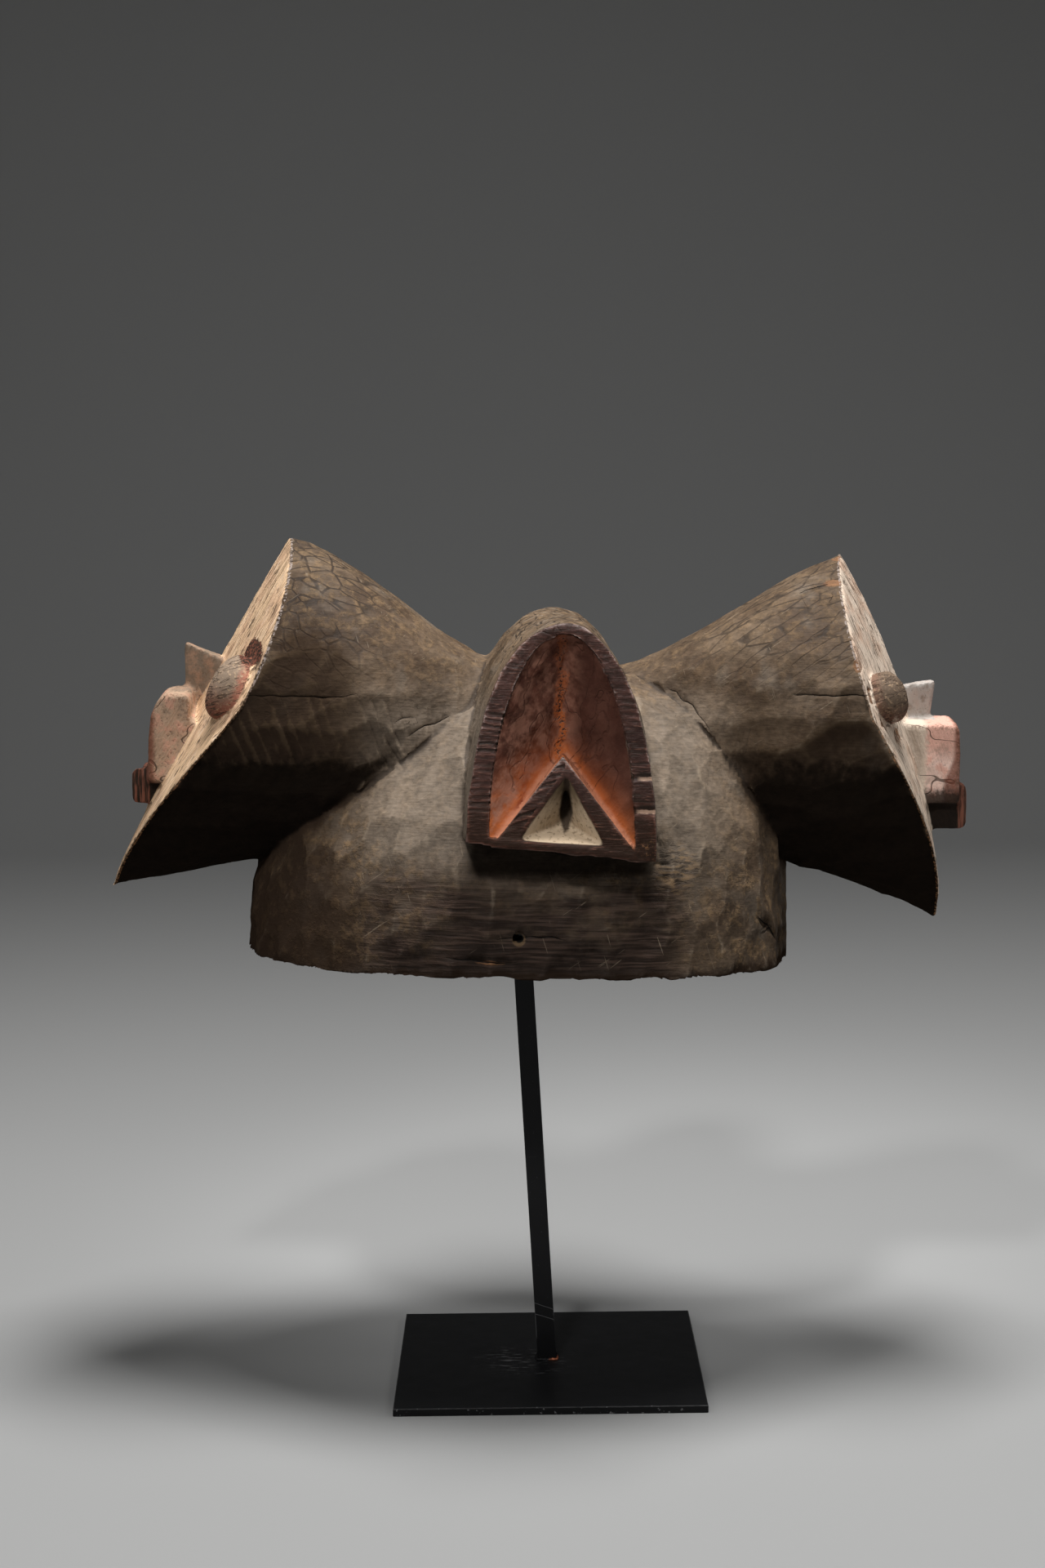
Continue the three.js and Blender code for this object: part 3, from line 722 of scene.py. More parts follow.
class Finish:
    """One material's nodes, with a short call for each kind of node that the finishes use."""

    def __init__(self, name, in_carving=True):
        self.material = bpy.data.materials.new(name)
        self.material.use_nodes = True
        self.tree = self.material.node_tree
        self.tree.nodes.clear()
        place = self.node("ShaderNodeTexCoord").outputs["Object"]
        turn = -CARVING_TILT if in_carving else 0.0
        start = -(Matrix.Rotation(turn, 3, "Y") @ CARVING_ORIGIN) / MM if in_carving else Vector()
        self.place = self.mapped(place, (1 / MM,) * 3, (0.0, turn, 0.0), start)
        split = self.node("ShaderNodeSeparateXYZ", {0: self.place})
        self.x, self.y, self.z = (Field(self, socket) for socket in split.outputs)
        self.marks = {}

    def node(self, kind, values=None, **settings):
        """A new node, with its settings and what its sockets hold, by name or number."""
        node = self.tree.nodes.new(kind)
        for key, value in settings.items():
            setattr(node, key, value)
        for key, value in (values or {}).items():
            self.feed(node.inputs[key], value)
        return node

    def feed(self, socket, value):
        """Sets a socket to a plain value, or links it."""
        if isinstance(value, Field):
            value = value.socket
        if isinstance(value, bpy.types.NodeSocket):
            self.tree.links.new(value, socket)
        elif socket.type == "RGBA":
            socket.default_value = (*value[:3], 1.0)
        else:
            socket.default_value = value

    def mapped(self, vector, scale=(1, 1, 1), turn=(0, 0, 0), start=(0, 0, 0)):
        values = {"Vector": vector, "Scale": scale, "Rotation": turn, "Location": start}
        return self.node("ShaderNodeMapping", values).outputs["Vector"]

    def noise(self, size, detail=2.0, stretch=(1, 1, 1), turn=0.0, offset=0.0, roughness=0.55, place=None):
        """Smooth noise from 0 to 1 with lumps of a size in millimetres, longer along the stretched axes."""
        scale = [1.0 / (size * longer) for longer in stretch]
        vector = place or self.place
        vector = self.mapped(vector, turn=(0.0, turn, 0.0)) if turn else vector
        vector = self.mapped(vector, scale, start=(offset,) * 3)
        values = {"Vector": vector, "Scale": 1.0, "Detail": detail, "Roughness": roughness}
        return Field(self, self.node("ShaderNodeTexNoise", values).outputs["Fac"])

    def cells(self, size, stretch, turn, waver):
        """Distance to the border between cells of a size in millimetres; waver bends the borders."""
        bend = self.node("ShaderNodeTexNoise", {"Vector": self.place, "Scale": 0.4 / size, "Detail": 1.5})
        bent = self.vector("MULTIPLY_ADD", bend.outputs["Color"], (waver,) * 3, self.place)
        scale = [1.0 / (size * longer) for longer in stretch]
        lattice = self.mapped(self.mapped(bent, turn=(0.0, turn, 0.0)), scale)
        values = {"Vector": lattice, "Scale": 1.0}
        node = self.node("ShaderNodeTexVoronoi", values, feature="DISTANCE_TO_EDGE")
        return Field(self, node.outputs["Distance"]) * size

    def vector(self, operation, *values):
        node = self.node("ShaderNodeVectorMath", dict(enumerate(values)), operation=operation)
        return node.outputs["Vector"]

    def math(self, operation, *values):
        node = self.node("ShaderNodeMath", dict(enumerate(values)), operation=operation)
        return Field(self, node.outputs[0])

    def distance(self, one, two):
        node = self.node("ShaderNodeVectorMath", {0: one, 1: two}, operation="DISTANCE")
        return Field(self, node.outputs["Value"])

    def near(self, x, z, radius, soft):
        """1 within a radius of a place on either side, seen along Y, and 0 a soft distance further out."""
        flat = self.vector("MULTIPLY", self.place, (1.0, 0.0, 1.0))
        return self.distance(flat, (x, 0.0, z)).step(radius, radius + soft, 1.0, 0.0)

    def mix(self, share, one, two, blend="MIX"):
        """Two colours blended by a share."""
        values = {0: share, 6: one, 7: two}
        return self.node("ShaderNodeMix", values, data_type="RGBA", blend_type=blend).outputs[2]

    def mark(self, name):
        """What the carving keeps at each place under that name."""
        if name not in self.marks:
            node = self.node("ShaderNodeAttribute", attribute_name=name)
            self.marks[name] = Field(self, node.outputs["Fac"])
        return self.marks[name]

    def over(self, under, share, upper):
        """One coat on another, where share is how much of the upper one there is."""
        colour = self.mix(share, under.colour, upper.colour)
        kinds = ("roughness", "height", "gloss")
        return Coat(colour, *(share.blend(getattr(under, kind), getattr(upper, kind)) for kind in kinds))

    def close(self, coat, metallic=0.0):
        """Joins a coat to the shader."""
        bump = self.node("ShaderNodeBump", {"Height": coat.height, "Distance": MM, "Strength": 1.0})
        shader = self.node("ShaderNodeBsdfPrincipled", {
            "Normal": bump.outputs[0], "Base Color": coat.colour, "Roughness": coat.roughness,
            "Metallic": metallic, "Specular IOR Level": coat.gloss,
        })
        self.node("ShaderNodeOutputMaterial", {"Surface": shader.outputs[0]})
        return self.material


def smoked_wood(finish, paint):
    """The bare outside: smoke-brown wood, grey where it is rubbed and ochre where dust lies."""
    broad = finish.noise(38.0, 3.0, stretch=(1.4, 1.0, 1.0))
    mottle = finish.noise(3.2, 3.0, offset=4.0)
    grain = finish.noise(0.8, 3.0, stretch=(14.0, 3.0, 1.0), offset=9.0)
    crust = finish.noise(7.0, 5.0, offset=21.0, roughness=0.7)
    out = out_of_middle(finish)
    middle = out.step(70.0, 112.0, 1.0, 0.0) * finish.z.step(30.0, 66.0)
    middle = middle * finish.z.step(120.0, 150.0, 1.0, 0.0)
    colour = finish.mix(broad.step(0.36, 0.66), paint.wood_brown, paint.wood_grey)
    cool = finish.noise(26.0, 2.0, offset=33.0)
    cool = most(cool.step(0.54, 0.72, 0.0, 0.55), middle * 0.72)
    colour = finish.mix(cool, colour, paint.wood_cool)
    tone = finish.mark("facet") * 0.18 + mottle + 0.47
    tone = tone * grain.step(0.2, 0.6, 0.72, 1.08)
    # Painted shade: darker on the left and towards the bottom
    tone = tone * finish.x.step(-170.0, -45.0, 0.6, 1.0) * finish.z.step(20.0, 95.0, 0.72, 1.0)
    colour = finish.mix(1.0, colour, tone, "MULTIPLY")
    on_top = finish.mark("shade").step(0.2, 0.8, 0.0, 0.65) * finish.x.step(30.0, 90.0, 1.0, 0.6)
    dusty = most(*(finish.near(*place) for place in DUST_PLACES), on_top)
    dust = crust.step(0.46, 0.6) * (0.16 + dusty * 0.6)
    dust = dust * middle.step(0.3, 1.0, 1.0, 0.35)
    dust_colour = finish.mix(mottle.step(0.35, 0.65), paint.dust_dark, paint.dust_light)
    colour = finish.mix(dust, colour, dust_colour)
    chips = finish.cells(5.5, stretch=(1.7, 1.0, 1.0), turn=math.radians(20), waver=5.0).step(0.0, 1.5)
    colour = finish.mix(chips * 0.07, colour, paint.line)
    height = mottle * 0.32 + grain * 0.14 + crust * dust * 0.5 - chips * 0.09
    coat = Coat(colour, dust.blend(0.66, 0.92), height)
    return worn_wood(finish, paint, net_of_lines(finish, paint, coat))


def net_of_lines(finish, paint, coat):
    """Fine dark craze lines round the two peaks, along the heads' tops and on the ears' arches."""
    left = finish.cells(7.4, stretch=(1.9, 1.1, 1.0), turn=math.radians(-40), waver=5.0)
    right = finish.cells(5.6, stretch=(6.0, 1.6, 1.0), turn=math.radians(33), waver=4.0)
    on_left = most(finish.near(*LEFT_NET), finish.near(*EAR_NET))
    on_right = finish.near(*RIGHT_NET) * finish.mark("shade").step(0.1, 0.55)
    thin = finish.noise(11.0, 3.0, offset=51.0).step(0.35, 0.53)
    left = left.step(0.12, 0.6, 1.0, 0.0) * on_left
    right = right.step(0.06, 0.42, 1.0, 0.0) * on_right * 0.85
    lines = most(left, right) * (0.15 + thin * 0.85)
    colour = finish.mix(lines * 0.88, coat.colour, paint.line)
    return Coat(colour, coat.roughness, coat.height - lines * 0.2, coat.gloss)


def worn_wood(finish, paint, coat):
    """What handling and tearing have done to the bare wood, then its painted shade and knocks, in that order.
    """
    rub = finish.noise(5.0, 3.0, offset=61.0)
    coat = rubbed_wood(finish, paint, coat, rub)
    coat = fibrous_wood(finish, paint, coat)
    coat = torn_wood(finish, paint, coat)
    coat = painted_shade_on_wood(finish, paint, coat, rub)
    return broken_wood(finish, paint, coat, rub)


def high_places(finish):
    """1 on the ridges and corners that hands reach."""
    return finish.mark("convex").step(0.06, 0.46)


def front_side(finish):
    """1 on the side that the front ear is on."""
    return finish.y.step(-20.0, -60.0)


def rubbed_wood(finish, paint, coat, rub):
    """Pale ridges, and dirt in the hollows."""
    pale = most(high_places(finish), finish.mark("ridge") * 0.1) * rub.step(0.38, 0.65, 0.1, 0.9)
    pale = pale * finish.mark("proud").step(-1.5, -6.0, 0.35, 1.0)
    colour = finish.mix(pale, coat.colour, paint.wood_worn)
    dirt = finish.mark("convex").step(-0.04, -0.4)
    colour = finish.mix(dirt * 0.7, colour, paint.line)
    return Coat(colour, pale.blend(coat.roughness, 0.6), coat.height, coat.gloss)


def fibrous_wood(finish, paint, coat):
    """Brown fibres low on the front and back."""
    low = finish.x.span(*FIBRES_ALONG) * finish.z.step(36.0, 62.0, 1.0, 0.0)
    low = low * abs(finish.y).step(60.0, 80.0)
    strand = finish.noise(1.5, 3.0, stretch=(20.0, 5.0, 1.0), offset=71.0)
    brown = finish.mix(strand.step(0.42, 0.68), paint.fibre_dark, paint.fibre_light)
    patchy = (broad_patches(finish) - finish.z * 0.004).step(0.22, 0.42, 0.45, 0.97)
    colour = finish.mix(low * patchy, coat.colour, brown)
    return Coat(colour, coat.roughness, coat.height + low * strand * 0.7, coat.gloss)


def torn_wood(finish, paint, coat):
    """Thin scratches all over, and the torn patch right of the front ear."""
    scratch = finish.noise(1.0, 1.0, stretch=(30.0, 6.0, 1.0), turn=math.radians(35), offset=81.0)
    other = finish.noise(1.0, 1.0, stretch=(1.0, 6.0, 26.0), turn=math.radians(18), offset=91.0)
    thin = most(scratch.step(0.745, 0.77), other.step(0.755, 0.78))
    colour = finish.mix(thin * 0.4, coat.colour, paint.wood_worn)
    patch = finish.near(TORN["x"], TORN["z"], 5.0, TORN["half_length"])
    patch = patch * front_side(finish)
    torn = finish.noise(1.5, 3.0, stretch=(4.0, 2.0, 1.0), offset=241.0)
    tear = patch * torn.step(0.47, 0.38)
    colour = finish.mix(patch * torn.step(0.5, 0.64) * 0.6, colour, paint.dust_light)
    colour = finish.mix(tear * 0.5, colour, paint.line)
    return Coat(colour, coat.roughness, coat.height - tear * 0.3, coat.gloss)


def painted_shade_on_wood(finish, paint, coat, rub):
    """Painted shade where the wood looks down, less on the heads' flanks, and below the front ear."""
    lean = finish.mark("shade") + (rub - 0.5) * 0.3
    lean = lean + finish.mark("facet") * 0.04 + high_places(finish) * 0.16
    off_ear = finish.mark("ear_depth").step(40.0, 50.0)
    # Painted shade on the flanks that turn away, deeper on the left head and less on the right one
    head_light_falloff = finish.x.step(-40.0, -110.0, 0.0, -0.34) + finish.x.step(40.0, 110.0, 0.0, 0.18)
    painted_dimming = (lean + head_light_falloff).step(0.5, -0.1) * off_ear * out_of_middle(finish).step(70.0, 110.0)
    colour = finish.mix(painted_dimming * finish.x.step(-40.0, -110.0, 0.7, 0.88), coat.colour, paint.soot_brown_and_shade)
    # Near-black painted shade where the wood looks down, held back on the heads' upper flanks
    under = most(lean.step(0.14, -0.3) * off_ear, lean.step(-0.1, -0.42))
    flank = (finish.z + rub * 16.0).step(102.0, 122.0) * out_of_middle(finish).step(60.0, 90.0)
    flank = flank * lean.step(-0.7, -0.3)
    under = under * flank.step(0.0, 1.0, 0.97, 0.22)
    # A painted shadow on the wall below the front ear
    ear_shadow = finish.x.span(*EAR_SHADOW["along"]) * finish.z.span(*EAR_SHADOW["height"])
    ear_shadow = front_side(finish) * ear_shadow
    under = most(under, ear_shadow * 0.85)
    colour = finish.mix(under, colour, finish.mix(rub * 0.4, paint.soot_and_shade, paint.soot_brown_and_shade))
    # Painted highlights on the cuts' ridges inside the painted shade
    stroke_highlight = flank * finish.mark("convex").step(0.02, 0.16) * painted_dimming.step(0.2, 0.7)
    colour = finish.mix(stroke_highlight * 0.26, colour, paint.dust_dark)
    # Darker along the helmet's bottom edge
    foot = (finish.z + (rub - 0.5) * 7.0).step(6.0, 1.0)
    colour = finish.mix(foot * 0.7, colour, paint.soot_brown_and_shade)
    gloss = most(painted_dimming, under).step(0.2, 0.9, 1.0, 0.0) * coat.gloss
    return Coat(colour, coat.roughness, coat.height, gloss)


def broken_wood(finish, paint, coat, rub):
    """Fresh wood in the breaks, the drilled hole with its worn ring, and the cracks."""
    broken = (finish.mark("breaks") + rub * 1.6).step(0.5, 1.5)
    splinter = finish.noise(1.1, 3.0, stretch=(5.0, 2.0, 1.0), offset=101.0)
    fresh = finish.mix(splinter, paint.splinter_dark, paint.splinter)
    colour = finish.mix(broken * 0.8, coat.colour, fresh)
    front = front_side(finish)
    x, z = CORD_HOLE
    # A pale painted highlight on the hole's lower lip, and the hole painted near-black as its shadow
    colour = finish.mix(front * finish.near(x, z - 0.9, 2.7, 0.9) * 0.55, colour, paint.dust_light)
    colour = finish.mix(front * finish.near(x, z + 0.1, 2.0, 0.7), colour, paint.soot_and_shade)
    # The cracks painted near-black: dirt and painted shade in the gaps
    crack = open_cracks(finish)
    colour = finish.mix(crack * 0.93, colour, paint.soot_and_shade)
    height = coat.height + splinter * broken * 0.5 - crack * 0.5
    return Coat(colour, coat.roughness, height, coat.gloss)


def broad_patches(finish):
    """Noise from 0 to 1 in patches as wide as a hand's palm."""
    return finish.noise(15.0, 4.0, stretch=(2.2, 1.0, 1.0), offset=251.0)


def out_of_middle(finish):
    """Distance from the carving's middle, along the line through the two heads."""
    return abs(finish.x - NECK["middle"])


def open_cracks(finish):
    """1 in the cracks, which close towards their ends."""
    gap = abs(finish.mark("crack") + finish.noise(1.4, 2.0) * 0.5 - 0.25)
    width = finish.mark("crack_open") * 0.62
    return (width - gap).step(-0.12, 0.16)


def ear_paint(finish, paint, wood):
    """Aubergine band and flap, the red bowl with its orange valley, and the pale pit with its slot painted
    dark.
    """
    flake = finish.noise(2.2, 4.0, offset=111.0)
    broad = finish.noise(14.0, 3.0, offset=121.0)
    depth = finish.mark("ear_depth")
    band = band_paint(finish, paint, wood, flake, broad)
    coat = finish.over(wood, (depth + flake * 1.4).step(3.4, 2.6), band)
    front = depth.step(50.0, 38.0)
    inside = finish.mark("bowl") + (flake - 0.5) * 1.2
    in_bowl = front * inside.step(-0.3, 0.7) * depth.step(0.35, 1.2)
    on_flap = finish.mark("flap").step(-0.2, 0.4) * depth.step(2.6, 1.9)
    in_bowl = in_bowl * (1.0 - on_flap)
    coat = finish.over(coat, in_bowl, bowl_paint(finish, paint, flake, broad))
    hollow = finish.mark("pit") + (flake - 0.5) * 1.0
    in_pit = front * hollow.step(-0.1, 0.6) * depth.step(0.9, 1.9)
    return finish.over(coat, in_pit, pit_paint(finish, paint, flake))


def band_paint(finish, paint, wood, flake, broad):
    """Aubergine with painted shade below, worn and highlighted edges, slices, a crumbled corner and two
    nicks.
    """
    patchy = (broad * 0.6 + flake * 0.4).step(0.36, 0.64)
    colour = finish.mix(patchy, paint.aubergine, paint.aubergine_light)
    # Painted shade, deepening towards the band's bottom
    band_shade = finish.mix(0.6, paint.aubergine, paint.soot_brown_and_shade)
    colour = finish.mix(finish.z.step(106.0, 72.0, 0.0, 0.92), colour, band_shade)
    # Pale edges: worn paint with painted highlights, stronger higher up
    edge = finish.mark("convex").step(0.12, 0.4) * broad.step(0.38, 0.54, 0.15, 0.9)
    edge = edge * finish.z.step(78.0, 112.0, 0.25, 1.0)
    colour = finish.mix(edge, colour, paint.edge_wear_and_highlight)
    fresh = finish.mark("convex").step(0.02, 0.2) * broad.step(0.36, 0.56, 0.1, 0.7)
    colour = finish.mix(fresh * 0.6, colour, paint.bowl_red)
    colour = finish.mix(finish.mark("convex").step(-0.03, -0.2, 0.0, 0.7), colour, paint.soot_brown_and_shade)
    slice_line = finish.noise(0.9, 3.0, stretch=(9.0, 3.0, 1.0), offset=271.0)
    # Dark and pale lines along the slices; the pale ones are painted highlights
    colour = finish.mix(slice_line.step(0.5, 0.36, 0.0, 0.65), colour, paint.soot_brown_and_shade)
    colour = finish.mix(slice_line.step(0.6, 0.72, 0.0, 0.4), colour, paint.bowl_dust)
    crumbs = finish.noise(2.2, 4.0, offset=261.0)
    corner = finish.near(*WORN_CORNER) * finish.mark("ear_depth").step(9.0, 5.0)
    crumbled = finish.mix(crumbs.step(0.5, 0.7), paint.soot_brown_and_shade, paint.splinter)
    colour = finish.mix(corner * crumbs.step(0.42, 0.54, 0.0, 0.7), colour, crumbled)
    for x, z in NICKS:
        here = finish.near(x, z, *NICK_REACH)
        level = finish.z + (flake - 0.5) * 1.2
        colour = finish.mix(here * level.span(z - 0.6, z + 0.5, 0.6), colour, paint.fresh_cut)
        # A painted shadow just above each nick
        colour = finish.mix(here * level.span(z + 1.6, z + 3.0, 0.7) * 0.8, colour, paint.soot_brown_and_shade)
    height = flake * 0.22 + slice_line * 0.35 + wood.height
    return Coat(colour, flake.blend(0.42, 0.62), height, finish.z.step(72.0, 106.0, 0.05, 0.24))


def bowl_paint(finish, paint, flake, broad):
    """Brown-red above, partly painted shade, orange below, a crumbled orange valley, painted highlights by
    the flap.
    """
    smear = finish.noise(6.0, 4.0, stretch=(1.0, 1.0, 2.4), turn=math.radians(-40), offset=131.0)
    dusty = finish.noise(9.0, 3.0, offset=281.0)
    # Orange below and brown-red above; the darker top is partly painted shade under the band
    low = (finish.z + smear * 40.0).step(156.0, 92.0)
    right = finish.x.step(EAR["x"] - 2.0, EAR["x"] + 14.0)
    near_flap = (finish.mark("flap") - right * 7.0).step(-26.0, -4.0)
    low = low * near_flap * right.step(0.0, 1.0, 1.0, 0.7)
    reddish = broad.step(0.34, 0.66) * right.step(0.0, 1.0, 1.0, 0.25)
    colour = finish.mix(reddish, paint.bowl_dark, paint.bowl_red)
    colour = finish.mix(low * 0.9, colour, paint.bowl_orange)
    dusted = (dusty + (flake - 0.5) * 0.35).step(0.36, 0.62) * right.step(0.0, 1.0, 0.6, 0.08)
    colour = finish.mix(dusted * low.step(0.3, 0.9, 1.0, 1.5), colour, paint.bowl_dust)
    # Painted highlights along the flap's sides: orange near it and orange-pink at its edge
    strip = (finish.mark("flap") + (smear - 0.5) * 5.0).step(-7.5, -1.2)
    colour = finish.mix(strip * 0.75, colour, paint.bowl_orange)
    bright = (finish.mark("flap") + (flake - 0.5) * 2.0).step(-3.4, -0.6)
    colour = finish.mix(bright * 0.85, colour, paint.strip)
    waver = finish.noise(9.0, 2.0, offset=145.0)
    valley = abs(finish.x - (EAR["x"] - 1.0) + (waver - 0.5) * 9.0)
    valley = valley + flake * 1.6 - 0.8
    edge = finish.noise(15.0, 2.0, stretch=(1.0, 1.0, 3.0), turn=math.radians(-35), offset=321.0)
    crease = abs(edge - 0.5).step(0.016, 0.004)
    crease = crease * flake.step(0.35, 0.55) * finish.z.step(86.0, 96.0)
    colour = finish.mix(crease * 0.45, colour, paint.bowl_dark)
    crumbs = finish.noise(1.3, 3.0, offset=141.0)
    near_valley = valley.step(3.6, 0.6) * finish.z.step(160.0, 120.0, 0.35, 1.0)
    colour = finish.mix(near_valley * crumbs.step(0.38, 0.55), colour, paint.bowl_orange)
    pits = valley.step(2.0, 0.6) * crumbs.step(0.44, 0.36)
    colour = finish.mix(pits * 0.9, colour, paint.soot_brown_and_shade)
    height = flake * 0.3 + smear * 0.9 + edge * 1.2 - crease * 0.3 + crumbs * near_valley * 0.9
    return Coat(colour, smear.blend(0.72, 0.88), height)


def pit_paint(finish, paint, flake):
    """Yellowish kaolin, lightest on the lower ledge, olive dirt and painted shade higher and deeper, a dark
    slot.
    """
    # The ledge that looks up is kept light: painted light
    ledge = (finish.z + flake * 5.0).step(80.5, 73.0)
    streak = finish.noise(2.6, 3.0, stretch=(1.0, 1.0, 4.0), offset=151.0)
    # Olive grows with depth and towards the top: dirt and painted shade
    deep = finish.mark("ear_depth").step(3.0, 14.0, 0.3, 1.0)
    stain_and_shade = streak.step(0.54, 0.36) * deep * ledge.step(0.0, 1.0, 0.45, 0.12)
    stain_and_shade = most(stain_and_shade, (finish.z + streak * 12.0).step(84.0, 100.0, 0.0, 0.93))
    colour = finish.mix(stain_and_shade, paint.kaolin, paint.olive)
    colour = finish.mix(flake.step(0.54, 0.66) * 0.6, colour, paint.olive)
    # Painted shade on the pit's upper part, under the band
    shaded = (finish.z + streak * 12.0).step(95.0, 109.0, 0.0, 0.75)
    colour = finish.mix(shaded, colour, paint.soot_brown_and_shade)
    # The slot painted dark, wider than its cut: painted shadow
    slot = (finish.mark("slot") + (flake - 0.5) * 1.2).step(-1.7, 0.0)
    colour = finish.mix(slot * 0.9, colour, paint.soot_brown_and_shade)
    return Coat(colour, 0.85, flake * 0.3 + streak * 0.3)


def face_paint(finish, paint, wood):
    """The kaolin and what stands on it, with a rim of wood round each face, rubbed and painted with
    highlights.
    """
    fleck = finish.noise(1.6, 4.0, offset=161.0, roughness=0.62)
    right = finish.x.step(-60.0, 60.0)
    face = kaolin_paint(finish, paint, fleck, right)
    border = finish.mark("proud") + (fleck - 0.5) * 0.9
    rim = border.span(-1.5, -0.9, 0.3) * fleck.step(0.46, 0.54)
    # The rim's pale line: worn wood with painted highlights, orange-brown lower down
    edge = finish.mix(finish.z.step(150.0, 120.0), paint.edge_wear_and_highlight, paint.splinter)
    wood = Coat(finish.mix(rim * 0.6, wood.colour, edge), wood.roughness, wood.height, wood.gloss)
    coat = finish.over(wood, border.step(-0.9, -0.35), face)
    height = face.height
    parts = {
        "nose": nose_paint(finish, paint, fleck, right, height),
        "eye": eye_paint(finish, paint, fleck, right, height),
        "muzzle": muzzle_paint(finish, paint, fleck, right, height),
        # The jaw below the muzzle: dark paint and painted shade
        "jaw": Coat(finish.mix(fleck, paint.soot_and_shade, paint.soot_brown_and_shade), 0.8, height),
        "lip": lip_paint(finish, paint, height),
    }
    for name, part in parts.items():
        share = (finish.mark(name) + (fleck - 0.5) * 0.8).step(-0.1, 0.5)
        coat = finish.over(coat, share, part)
    return spotted(finish, paint, coat, fleck)


def kaolin_paint(finish, paint, fleck, right):
    """Cream on the left face and paler on the right one, pink in patches, with streaks down the slope."""
    broad = finish.noise(17.0, 3.0, offset=171.0)
    axes = {0: finish.mark("along"), 1: finish.y, 2: finish.mark("proud")}
    slope = finish.node("ShaderNodeCombineXYZ", axes).outputs[0]
    streak = finish.noise(1.3, 4.0, stretch=(11.0, 1.0, 1.0), offset=181.0, place=slope)
    dash = finish.noise(1.5, 2.0, stretch=(5.0, 1.2, 1.0), offset=291.0, place=slope)
    colour = finish.mix(right, paint.face_cream, paint.face_pale)
    colour = finish.mix(broad.step(0.3, 0.56, 0.6, 0.0), colour, paint.face_pink)
    colour = finish.mix(streak.step(0.5, 0.64, 0.0, 0.62), colour, paint.wood_brown)
    colour = finish.mix(streak.step(0.46, 0.34, 0.0, 0.5), colour, paint.face_pale)
    colour = finish.mix(dash.step(0.62, 0.66, 0.0, 0.85), colour, paint.speck)
    rubbed = (fleck * 0.7 + broad * 0.3).step(0.39, 0.31)
    colour = finish.mix(rubbed * 0.85, colour, paint.speck)
    return Coat(colour, 0.86, fleck * 0.3 + streak * 0.5 - dash * 0.2)


def spotted(finish, paint, coat, fleck):
    """A dark, flaked spot on the wood behind the left face's near eye."""
    spot = finish.mark("proud").step(-3.0, -1.5) * finish.near(*EYE_SPOT)
    spot = spot * finish.y.span(-60.0, -36.0, 8.0)
    spot = (spot + (fleck - 0.5) * 1.2).step(0.42, 0.56)
    spot_colour = finish.mix(fleck.step(0.44, 0.62), paint.soot_brown_and_shade, paint.red_brown)
    colour = finish.mix(spot, coat.colour, spot_colour)
    return Coat(colour, coat.roughness, coat.height - spot * 0.8, coat.gloss)


def nose_paint(finish, paint, fleck, right, height):
    """Grey, paler on the right face."""
    colour = finish.mix(right, paint.nose_left, paint.nose_right)
    worn = finish.noise(6.0, 4.0, offset=301.0)
    colour = finish.mix(worn.step(0.46, 0.7) * right.step(0.0, 1.0, 0.6, 0.2), colour, paint.face_pink)
    colour = finish.mix(worn.step(0.5, 0.34, 0.0, 0.6), colour, paint.nose_left)
    colour = finish.mix(fleck.step(0.44, 0.3, 0.0, 0.4), colour, paint.speck)
    return Coat(colour, 0.8, height)


def eye_paint(finish, paint, fleck, right, height):
    """Pinkish on the left face and grey-brown on the right one, darker below, with knife cuts across."""
    colour = finish.mix(right, paint.eye_left, paint.eye_right)
    back = (finish.mark("proud") + fleck * 9.0).step(11.5, 6.5)
    colour = finish.mix(back * right.step(0.0, 1.0, 0.85, 0.2), colour, paint.eye_pink)
    low = (finish.mark("along") + fleck * 9.0).step(80.0, 97.0)
    colour = finish.mix(low * 0.85, colour, paint.red_brown)
    cut = finish.noise(2.4, 2.0, stretch=(6.0, 6.0, 1.0), turn=math.radians(20), offset=191.0)
    line = abs(cut - 0.46).step(0.035, 0.012)
    colour = finish.mix(line * low.step(0.0, 1.0, 0.6, 0.95), colour, paint.speck)
    colour = finish.mix(fleck.step(0.52, 0.7, 0.0, 0.4), colour, paint.face_cream)
    return Coat(colour, 0.72, height - line * 0.5)


